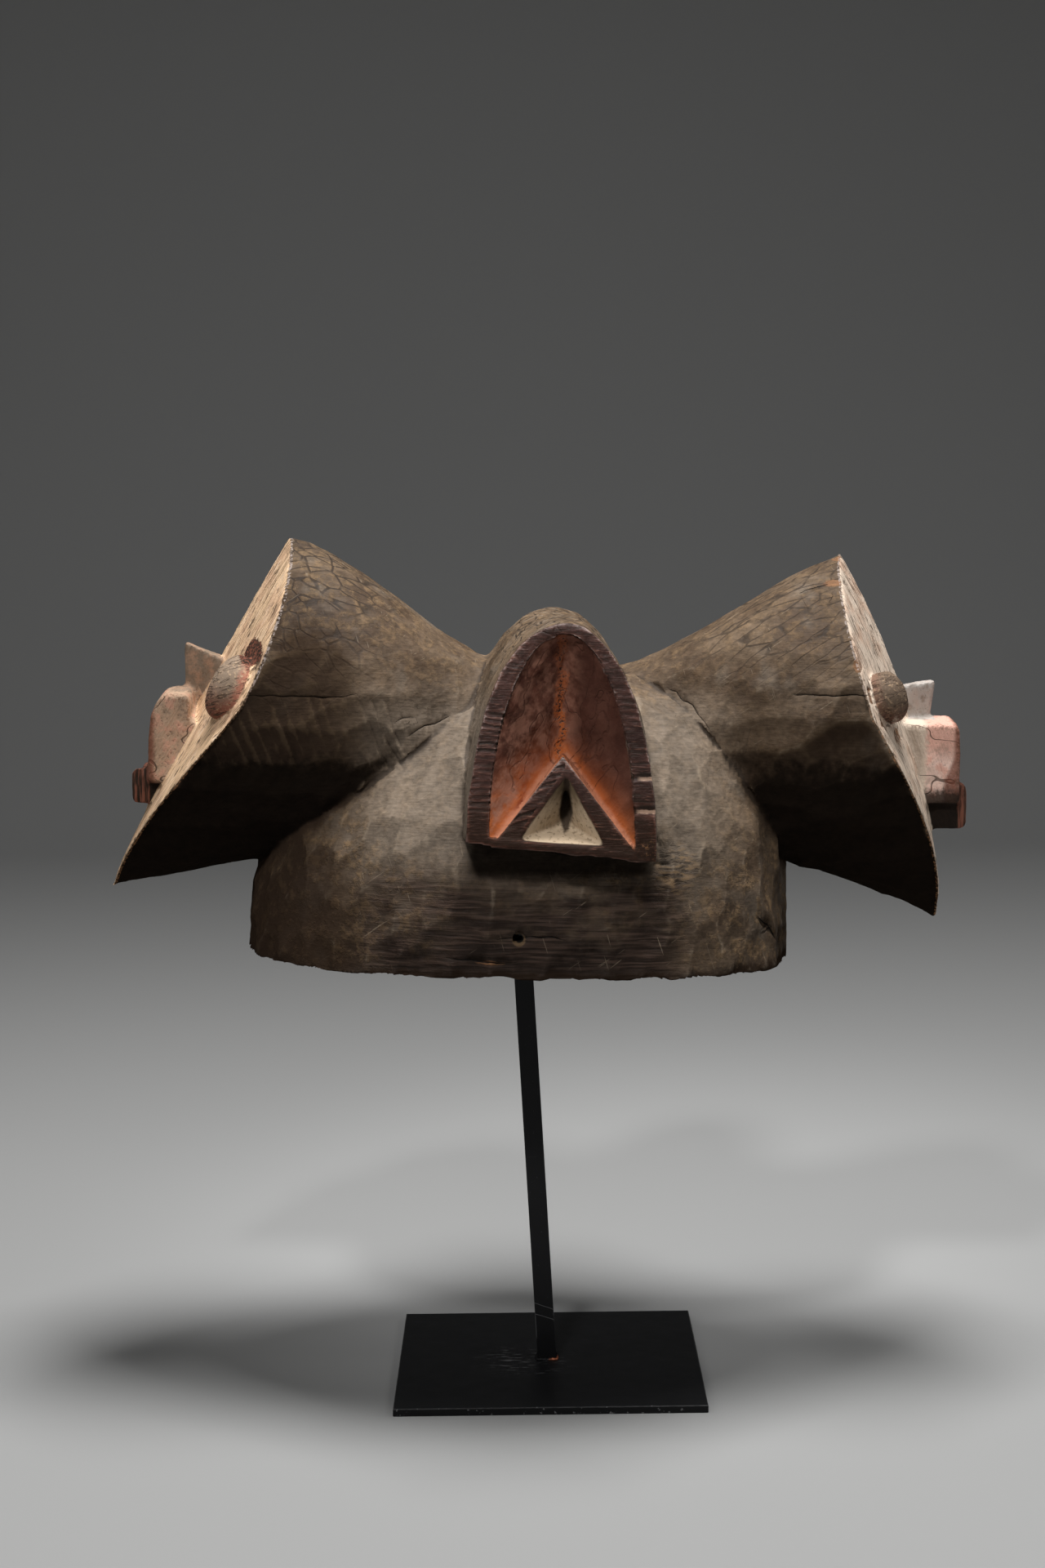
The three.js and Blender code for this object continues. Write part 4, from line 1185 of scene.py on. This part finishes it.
def muzzle_paint(finish, paint, fleck, right, height):
    """Pink-grey flanks with worn patches and small cracks, a red-brown front and a jaw below painted dark."""
    side = abs(finish.x)
    worn = finish.noise(8.0, 5.0, offset=231.0, roughness=0.62)
    colour = finish.mix(right, paint.muzzle_left, paint.muzzle_right)
    upper = right * finish.z.step(98.0, 112.0, 0.0, 0.6)
    pink = most(worn.step(0.48, 0.62) * right.step(0.0, 1.0, 0.4, 0.6), upper)
    colour = finish.mix(pink, colour, paint.muzzle_pink)
    dull = worn.step(0.48, 0.34) * right.step(0.0, 1.0, 0.8, 0.35)
    colour = finish.mix(dull, colour, paint.nose_left)
    colour = finish.mix(fleck.step(0.45, 0.32) * right.step(0.0, 1.0, 0.6, 0.3), colour, paint.speck)
    root = (finish.x + fleck * 5.0).step(215.0, 211.5)
    colour = finish.mix(root * right, colour, paint.face_pale)
    wander = finish.noise(20.0, 2.0, stretch=(2.0, 1.0, 1.0), offset=311.0)
    line = abs(wander - 0.52).step(0.008, 0.003)
    line = line * abs(finish.y).step(19.0, 22.5)
    colour = finish.mix(line * 0.8, colour, paint.speck)
    left_front = finish.x.step(0.0, -1.0) * side.step(186.0, 189.0)
    torn_side = side + finish.z.step(106.0, 88.0, 0.0, 5.0)
    right_front = finish.x.step(0.0, 1.0) * torn_side.step(223.8, 226.6)
    front = finish.math("MINIMUM", most(left_front, right_front), fleck.step(0.3, 0.45, 0.6, 1.0))
    colour = finish.mix(front * 0.85, colour, paint.red_brown)
    edge = finish.mark("convex").step(0.08, 0.34) * fleck.step(0.44, 0.6)
    colour = finish.mix(edge * 0.6, colour, paint.splinter_dark)
    # The jaw painted dark: dark paint and painted shade under the muzzle
    level = finish.z + (fleck + worn - 1.0) * 6.0
    jaw = level.step(89.0, 84.0)
    colour = finish.mix(jaw * 0.93, colour, paint.soot_brown_and_shade)
    return Coat(colour, 0.78, height + worn * 0.35 - line * 0.3)


def lip_paint(finish, paint, height):
    """Red-brown and pink-brown, with upright grooves."""
    groove = finish.noise(1.5, 2.0, stretch=(1.0, 1.0, 12.0), offset=201.0)
    colour = finish.mix(groove.step(0.36, 0.62), paint.soot_brown_and_shade, paint.lip_pink)
    return Coat(colour, 0.6, height + groove * 0.9)


def hollow_wood(finish, paint, wood):
    """The inside: dark, dry and rough, never painted."""
    streak = finish.noise(2.0, 4.0, stretch=(10.0, 2.0, 1.0), offset=211.0)
    broad = finish.noise(24.0, 3.0, offset=221.0)
    colour = finish.mix(broad.step(0.35, 0.65), paint.hollow_dark, paint.hollow_light)
    colour = finish.mix(streak.step(0.38, 0.55, 0.5, 0.0), colour, paint.soot_and_shade)
    inner = Coat(colour, 0.9, streak * 0.6 + wood.height * 0.5)
    return finish.over(wood, finish.mark("hollow").step(0.35, 0.65), inner)


# The carving's materials: name and layer on the wood; a mark, its sign and a limit that choose the faces
AREAS = (
    ("carved_wood", None, None, None, None),
    ("hollow_wood", hollow_wood, "hollow", 1, 0.3),
    ("painted_ear", ear_paint, "ear_depth", -1, -52.0),
    ("painted_face", face_paint, "proud", 1, -7.0),
)


def carving_materials(paint):
    """The same wood in each area, with that area's own layer on it."""
    materials = []
    for name, layer, *_ in AREAS:
        finish = Finish(name)
        coat = smoked_wood(finish, paint)
        materials.append(finish.close(layer(finish, paint, coat) if layer else coat))
    return materials


def sort_faces(mesh):
    """Gives each face the number of the material whose layer it needs."""
    corners = np.empty(len(mesh.loops), np.int32)
    mesh.loops.foreach_get("vertex_index", corners)
    starts = np.empty(len(mesh.polygons), np.int32)
    mesh.polygons.foreach_get("loop_start", starts)
    values = np.empty(len(mesh.vertices), np.float32)
    slots = np.zeros(len(starts), np.int32)
    for number, (_, layer, mark, sign, limit) in enumerate(AREAS):
        if layer:
            mesh.attributes[mark].data.foreach_get("value", values)
            slots[np.maximum.reduceat(sign * values[corners], starts) > limit] = number
    mesh.polygons.foreach_set("material_index", slots)


def steel_coat(finish, paint):
    """Satin black, with dust specks and faint rubbed lines."""
    broad = finish.noise(12.0, 3.0)
    speck = finish.noise(0.8, 1.0, offset=11.0)
    rub = finish.noise(0.9, 2.0, stretch=(26.0, 3.0, 3.0), turn=math.radians(8), offset=21.0)
    colour = finish.mix(broad, paint.steel, paint.steel_worn)
    colour = finish.mix(speck.step(0.76, 0.81, 0.0, 0.25), colour, paint.steel_bare)
    colour = finish.mix(rub.step(0.7, 0.78, 0.0, 0.08), colour, paint.steel_bare)
    height = finish.noise(0.5, 2.0, offset=31.0) * 0.03 + broad * 0.05
    return Coat(colour, broad.blend(0.38, 0.55), height, 0.2)


def bar_material(paint):
    """The bar: its edges and a few hairlines near the foot are rubbed bright."""
    finish = Finish("bar_steel", in_carving=False)
    coat = steel_coat(finish, paint)
    lean = (finish.z - PLATE_THICK) * BAR["lean"]
    aside = abs(finish.x - lean - BAR["foot_x"])
    depth = abs(finish.y)
    broken = finish.noise(5.0, 3.0, stretch=(1.0, 1.0, 3.0), offset=41.0)
    edge = finish.math("MINIMUM", aside, depth).step(BAR["side"] / 2 - 0.45, BAR["side"] / 2 - 0.1)
    low = finish.z.step(110.0, 20.0, 0.0, 0.6)
    edge = edge * low * broken.step(0.52, 0.62)
    level = finish.z + finish.x * 0.35 + finish.noise(9.0, 1.0) * 1.4
    hairs = most(level.span(27.6, 27.7, 0.22), level.span(33.4, 33.5, 0.15))
    coat.colour = finish.mix(most(edge * 0.7, hairs * 0.4), coat.colour, paint.steel_bare)
    return finish.close(coat)


def plate_material(paint):
    """The foot plate: bright along its edges, chipped in front, and scratched round the bar's foot."""
    finish = Finish("plate_steel", in_carving=False)
    coat = steel_coat(finish, paint)
    reach = most(abs(finish.x), abs(finish.y))
    broken = finish.noise(4.0, 3.0, offset=51.0)
    # A faint pale line along the top edges: worn paint and painted highlight
    rim = reach.step(PLATE_SIDE / 2 - 0.8, PLATE_SIDE / 2 - 0.3) * broken.step(0.36, 0.55)
    rim = rim * finish.z.step(PLATE_THICK - 0.7, PLATE_THICK - 0.3)
    front = finish.y.step(1.0 - PLATE_SIDE / 2, 0.4 - PLATE_SIDE / 2)
    chip = finish.noise(2.4, 2.0, offset=61.0).step(0.64, 0.68) * front
    foot = finish.distance(finish.place, (BAR["foot_x"] - 12.0, -6.0, PLATE_THICK))
    rings = finish.noise(1.0, 2.0, stretch=(9.0, 2.0, 2.0), offset=71.0)
    rubbed = foot.step(34.0, 6.0) * rings.step(0.57, 0.68)
    bright = most(rim * 0.08, chip * 0.7, rubbed * 0.4)
    coat.colour = finish.mix(bright, coat.colour, paint.steel_bare)
    return finish.close(coat)


def bead_material(paint):
    """The brazed bead: copper where it shows, blackened elsewhere."""
    finish = Finish("bead_bronze", in_carving=False)
    bare = (finish.x - finish.y * 0.8 + finish.noise(2.0) * 3.0).step(5.5, 8.5)
    colour = finish.mix(bare, paint.steel, paint.bronze)
    height = finish.noise(1.0, 3.0, offset=5.0) * 0.3
    return finish.close(Coat(colour, bare.blend(0.5, 0.35), height, 0.4), metallic=0.3)


def bead_mesh():
    """A lumpy bead run round the bar's foot: a small round section spun about the bar, then squared."""
    form = bmesh.new()
    middle = Vector((BAR["foot_x"], 0.0, PLATE_THICK + BEAD["lift"])) * MM
    upright = Matrix.Rotation(math.pi / 2, 4, "X")
    place = Matrix.Translation(middle + Vector((BEAD["reach"] * MM, 0, 0))) @ upright
    ring = bmesh.ops.create_circle(form, segments=10, radius=BEAD["radius"] * MM, matrix=place)
    edges = list({edge for vert in ring["verts"] for edge in vert.link_edges})
    bmesh.ops.spin(
        form, geom=ring["verts"] + edges, cent=middle, axis=(0, 0, 1), angle=2 * math.pi, steps=96,
        use_merge=True,
    )
    bmesh.ops.remove_doubles(form, verts=form.verts, dist=0.01 * MM)
    for vert in form.verts:
        offset = (vert.co - middle) / MM
        angle = math.atan2(offset.y, offset.x)
        square = 1 / max(abs(math.cos(angle)), abs(math.sin(angle)))
        lump = 1 + 0.16 * math.sin(17 * angle) + 0.1 * math.sin(29 * angle + 1)
        out = (math.hypot(offset.x, offset.y) - BEAD["reach"]) * lump + BEAD["reach"] * square**0.85
        rise = max(offset.z * lump, BEAD["gap"] - BEAD["lift"])
        vert.co = middle + Vector((out * math.cos(angle), out * math.sin(angle), rise)) * MM
    bmesh.ops.recalc_face_normals(form, faces=form.faces)
    mesh = bpy.data.meshes.new("brazed_bead")
    form.to_mesh(mesh)
    form.free()
    mesh.shade_smooth()
    return mesh


class CarvingSettings(bpy.types.PropertyGroup):
    """Sizes of the carver's work."""

    voxel: FloatProperty(
        name="Working grain", description="Size of the cells that the surface is worked in",
        default=1.05 * MM, min=0.5 * MM, unit="LENGTH",
    )
    triangles: IntProperty(
        name="Triangles", description="Most triangles on the finished carving", default=196000, min=20000,
    )
    mark_depth: FloatProperty(
        name="Tool marks", description="Depth of a common gouge cut, in millimetres", default=1.0, min=0.0,
        max=3.0,
    )


def tint(name, description, value):
    """A colour setting."""
    return FloatVectorProperty(
        name=name, description=description, subtype="COLOR", size=3, min=0, max=1, default=value,
    )


class PaintSettings(bpy.types.PropertyGroup):
    """Colours of the wood, the old paint and the steel; some of them also paint light and shade."""

    wood_grey: tint("Grey wood", "Rubbed grey-tan wood", (0.156, 0.108, 0.070))
    wood_brown: tint("Brown wood", "Smoke-brown wood", (0.076, 0.048, 0.029))
    wood_cool: tint("Cool wood", "Bluish grey of handled wood", (0.196, 0.156, 0.119))
    wood_worn: tint("Worn ridges", "Ridges and scratches rubbed light", (0.280, 0.218, 0.155))
    dust_light: tint("Light dust", "Ochre dust", (0.232, 0.148, 0.078))
    dust_dark: tint("Dark dust", "Ochre dust in its shaded grain", (0.105, 0.070, 0.040))
    line: tint("Craze lines", "Dark lines and dirt in hollows", (0.028, 0.020, 0.015))
    # Both also serve as painted shade: under the heads and the front ear, in the hole, cracks, jaws, pit and
    # slot
    soot_and_shade: tint("Soot", "Near-black soot", (0.006, 0.005, 0.004))
    soot_brown_and_shade: tint("Brown soot", "Dark brown where soot is thin", (0.030, 0.019, 0.013))
    fibre_dark: tint("Dark fibres", "Brown of the torn grain below", (0.016, 0.009, 0.006))
    fibre_light: tint("Light fibres", "Raised fibres of the torn grain", (0.060, 0.037, 0.027))
    splinter: tint("Fresh wood", "Orange-brown of broken wood", (0.340, 0.168, 0.080))
    splinter_dark: tint("Old break", "Darker wood of old breaks", (0.130, 0.065, 0.034))
    aubergine: tint("Aubergine", "Dark purple-brown of the ear's band", (0.036, 0.016, 0.012))
    aubergine_light: tint("Light aubergine", "The same paint, dusty", (0.080, 0.036, 0.028))
    # Also painted highlight along the band's edges and the faces' rims
    edge_wear_and_highlight: tint("Handled edge", "Worn edge of the band", (0.420, 0.350, 0.320))
    red_brown: tint("Red-brown", "Red-brown paint and cut wood", (0.210, 0.074, 0.046))
    bowl_dark: tint("Bowl, dark", "Brown-red of the bowl", (0.056, 0.020, 0.013))
    bowl_red: tint("Bowl, red", "Lighter red of the bowl", (0.150, 0.056, 0.036))
    bowl_dust: tint("Bowl, dust", "Rosy dust in the bowl", (0.330, 0.158, 0.106))
    bowl_orange: tint("Orange earth", "Orange of the valley and strips", (0.440, 0.114, 0.030))
    fresh_cut: tint("Fresh cut", "Pinkish tan of nicks in the band", (0.420, 0.270, 0.190))
    # Painted highlight along the flap's sides
    strip: tint("Bright strip", "Orange-pink along the flap", (0.450, 0.190, 0.110))
    kaolin: tint("Kaolin", "Yellowish white of the pit", (0.570, 0.440, 0.305))
    # Olive also paints shade in the pit's deep and upper parts
    olive: tint("Olive dirt", "Dirt in the pit", (0.170, 0.120, 0.068))
    face_cream: tint("Face cream", "Kaolin on the faces", (0.720, 0.490, 0.300))
    face_pale: tint("Face pale", "Greyer kaolin on the right face", (0.720, 0.585, 0.465))
    face_pink: tint("Face pink", "Pinkish kaolin on the faces", (0.520, 0.300, 0.190))
    speck: tint("Specks", "Dark specks where the paint has gone", (0.070, 0.044, 0.030))
    nose_left: tint("Left nose", "Grey of the left nose", (0.240, 0.175, 0.125))
    nose_right: tint("Right nose", "Pale grey of the right nose", (0.500, 0.455, 0.415))
    eye_left: tint("Left eye", "Pinkish grey of the left eye", (0.270, 0.198, 0.142))
    eye_right: tint("Right eye", "Grey-brown of the right eye", (0.150, 0.105, 0.073))
    eye_pink: tint("Eye pink", "Pink of the eyes", (0.400, 0.155, 0.100))
    muzzle_left: tint("Left muzzle", "Grey-tan of the left muzzle", (0.440, 0.300, 0.205))
    muzzle_right: tint("Right muzzle", "Pinkish grey of the right muzzle", (0.880, 0.630, 0.530))
    muzzle_pink: tint("Muzzle pink", "Pink of the muzzles", (0.740, 0.345, 0.250))
    lip_pink: tint("Lip", "Pink-brown of the lips", (0.230, 0.090, 0.058))
    hollow_dark: tint("Hollow, dark", "Dark wood inside", (0.030, 0.022, 0.017))
    hollow_light: tint("Hollow, light", "Drier wood inside", (0.085, 0.062, 0.044))
    steel: tint("Black steel", "Satin black of the stand", (0.0055, 0.0055, 0.006))
    steel_worn: tint("Rubbed steel", "Slightly rubbed black", (0.011, 0.011, 0.012))
    steel_bare: tint("Bare steel", "Bright steel at edges and scratches", (0.280, 0.280, 0.285))
    bronze: tint("Braze", "Copper colour of the brazing", (0.420, 0.130, 0.060))


class StageSettings(bpy.types.PropertyGroup):
    """Studio light and camera."""

    top_power: FloatProperty(
        name="Top light", description="Power of the soft light above", default=30.0, min=0.0, unit="POWER",
    )
    front_power: FloatProperty(
        name="Front light", description="Power of the soft spot on the front ear", default=62.0, min=0.0,
        unit="POWER",
    )
    side_power: FloatProperty(
        name="Side lights", description="Power of each soft light at the sides", default=2.4, min=0.0,
        unit="POWER",
    )
    sky: FloatProperty(
        name="Room light", description="Strength of the even light all round", default=0.045, min=0.0,
    )
    floor: tint("Floor", "Pale grey of the floor and backdrop", (0.43, 0.43, 0.425))
    lens: FloatProperty(
        name="Lens", description="Focal length of the camera", default=60.0, min=10.0, unit="CAMERA",
    )


def add_piece(scene, name, mesh):
    """A new object of the mask, held by the stand's body."""
    piece = bpy.data.objects.new(name, mesh)
    scene.collection.objects.link(piece)
    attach(piece, "root")
    return piece


class MASK_OT_carving(bpy.types.Operator):
    """Carve and paint the helmet mask"""

    bl_idname = "mask.carving"
    bl_label = "Helmet mask"

    def execute(self, context):
        scene = context.scene
        mesh = carving_mesh(scene.mask_carving)
        mesh.name = "carved_mask"
        mesh.shade_smooth()
        mesh.set_sharp_from_angle(angle=math.radians(50))
        mesh.materials.clear()
        for material in carving_materials(scene.mask_paint):
            mesh.materials.append(material)
        sort_faces(mesh)
        piece = add_piece(scene, "carved_mask", mesh)
        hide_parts("helmet_mask")
        return {"FINISHED"}


class MASK_OT_steel(bpy.types.Operator):
    """Finish the bar and the foot plate, and add the brazed bead between them"""

    bl_idname = "mask.steel"
    bl_label = "Steel stand"

    def execute(self, context):
        paint = context.scene.mask_paint
        for name, material in (("stand_bar", bar_material(paint)), ("stand_plate", plate_material(paint))):
            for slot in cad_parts[name].material_slots:
                slot.material = material
        mesh = bead_mesh()
        mesh.materials.append(bead_material(paint))
        add_piece(context.scene, "brazed_bead", mesh)
        return {"FINISHED"}


def add_camera(scene, lens):
    """The camera at the photograph's viewing angle."""
    pitch, roll = CAMERA["pitch"], CAMERA["roll"]
    forward = Vector((0.0, math.cos(pitch), -math.sin(pitch)))
    right = Vector((1.0, 0.0, 0.0))
    up = right.cross(forward)
    across = right * math.cos(roll) + up * math.sin(roll)
    above = up * math.cos(roll) - right * math.sin(roll)
    data = bpy.data.cameras.new("camera")
    data.lens = lens
    data.sensor_width = CAMERA["sensor"]
    camera = bpy.data.objects.new("camera", data)
    turn = Matrix((across, above, -forward)).transposed().to_4x4()
    camera.matrix_world = Matrix.Translation(CAMERA["place"]) @ turn
    scene.collection.objects.link(camera)
    scene.camera = camera


def add_light(scene, name, power, place, **settings):
    """A light that looks at the mask: a soft square one, or a spot where a cone is given."""
    data = bpy.data.lights.new(name, "SPOT" if "spot_size" in settings else "AREA")
    data.energy = power
    for key, value in settings.items():
        setattr(data, key, value)
    light = bpy.data.objects.new(name, data)
    light.location = place
    light.rotation_euler = (CARVING_ORIGIN + LOOK_UP - Vector(place)).to_track_quat("-Z", "Y").to_euler()
    scene.collection.objects.link(light)


def add_sweep(scene, colour):
    """Floor that curves up into a backdrop."""
    form = bmesh.new()
    side, start, radius = -SWEEP["half_width"], SWEEP["bend"], SWEEP["radius"]
    corner = form.verts.new((side, SWEEP["front"], 0.0))
    end = form.verts.new((side, start, 0.0))
    form.edges.new((corner, end))
    middle = (0, start, radius)
    bend = bmesh.ops.spin(form, geom=[end], cent=middle, axis=(1, 0, 0), angle=math.pi / 2, steps=24)
    top = [item for item in bend["geom_last"] if isinstance(item, bmesh.types.BMVert)][0]
    form.edges.new((top, form.verts.new((side, start + radius, SWEEP["top"]))))
    wide = bmesh.ops.extrude_edge_only(form, edges=list(form.edges))
    moved = [item for item in wide["geom"] if isinstance(item, bmesh.types.BMVert)]
    bmesh.ops.translate(form, verts=moved, vec=(2 * SWEEP["half_width"], 0, 0))
    bmesh.ops.recalc_face_normals(form, faces=form.faces)
    mesh = bpy.data.meshes.new("sweep")
    form.to_mesh(mesh)
    form.free()
    mesh.shade_smooth()
    sweep = bpy.data.objects.new("sweep", mesh)
    scene.collection.objects.link(sweep)
    finish = Finish("sweep_paper", in_carving=False)
    mesh.materials.append(finish.close(Coat(colour, 0.8, finish.noise(2.0) * 0.02, 0.2)))


class MASK_OT_stage(bpy.types.Operator):
    """Set up the pale floor, the studio light and the camera"""

    bl_idname = "mask.stage"
    bl_label = "Stage"

    def execute(self, context):
        scene = context.scene
        stage = scene.mask_stage
        add_sweep(scene, stage.floor)
        add_camera(scene, stage.lens)
        side_power = stage.side_power
        powers = {"top": stage.top_power, "front": stage.front_power, "left": side_power, "right": side_power}
        for name, power in powers.items():
            add_light(scene, name, power, **LIGHTS[name])
        world = bpy.data.worlds.new("room")
        world.use_nodes = True
        background = world.node_tree.nodes["Background"]
        background.inputs["Color"].default_value = (1.0, 1.0, 1.0, 1.0)
        background.inputs["Strength"].default_value = stage.sky
        scene.world = world
        scene.view_settings.view_transform = "Standard"
        return {"FINISHED"}


class MASK_PT_workshop(bpy.types.Panel):
    """Workshop panel for the mask"""

    bl_idname = "MASK_PT_workshop"
    bl_label = "Janus Helmet Mask"
    bl_space_type = "VIEW_3D"
    bl_region_type = "UI"
    bl_category = "Mask"

    def draw(self, context):
        for group, operator in PANEL_ROWS:
            box = self.layout.box()
            if group:
                settings = getattr(context.scene, group)
                for name in settings.bl_rna.properties.keys():
                    if name not in ("rna_type", "name"):
                        box.prop(settings, name)
            if operator:
                box.operator(operator)


PANEL_ROWS = (
    ("mask_carving", "mask.carving"),
    ("mask_paint", None),
    (None, "mask.steel"),
    ("mask_stage", "mask.stage"),
)
SETTINGS = {"mask_carving": CarvingSettings, "mask_paint": PaintSettings, "mask_stage": StageSettings}
CLASSES = (*SETTINGS.values(), MASK_OT_carving, MASK_OT_steel, MASK_OT_stage, MASK_PT_workshop)


def register():
    for kind in CLASSES:
        bpy.utils.register_class(kind)
    for name, kind in SETTINGS.items():
        setattr(bpy.types.Scene, name, PointerProperty(type=kind))


def unregister():
    for name in SETTINGS:
        delattr(bpy.types.Scene, name)
    for kind in reversed(CLASSES):
        bpy.utils.unregister_class(kind)


def main():
    register()
    bpy.ops.mask.stage()
    bpy.ops.mask.carving()
    bpy.ops.mask.steel()


if __name__ == "__main__":
    main()
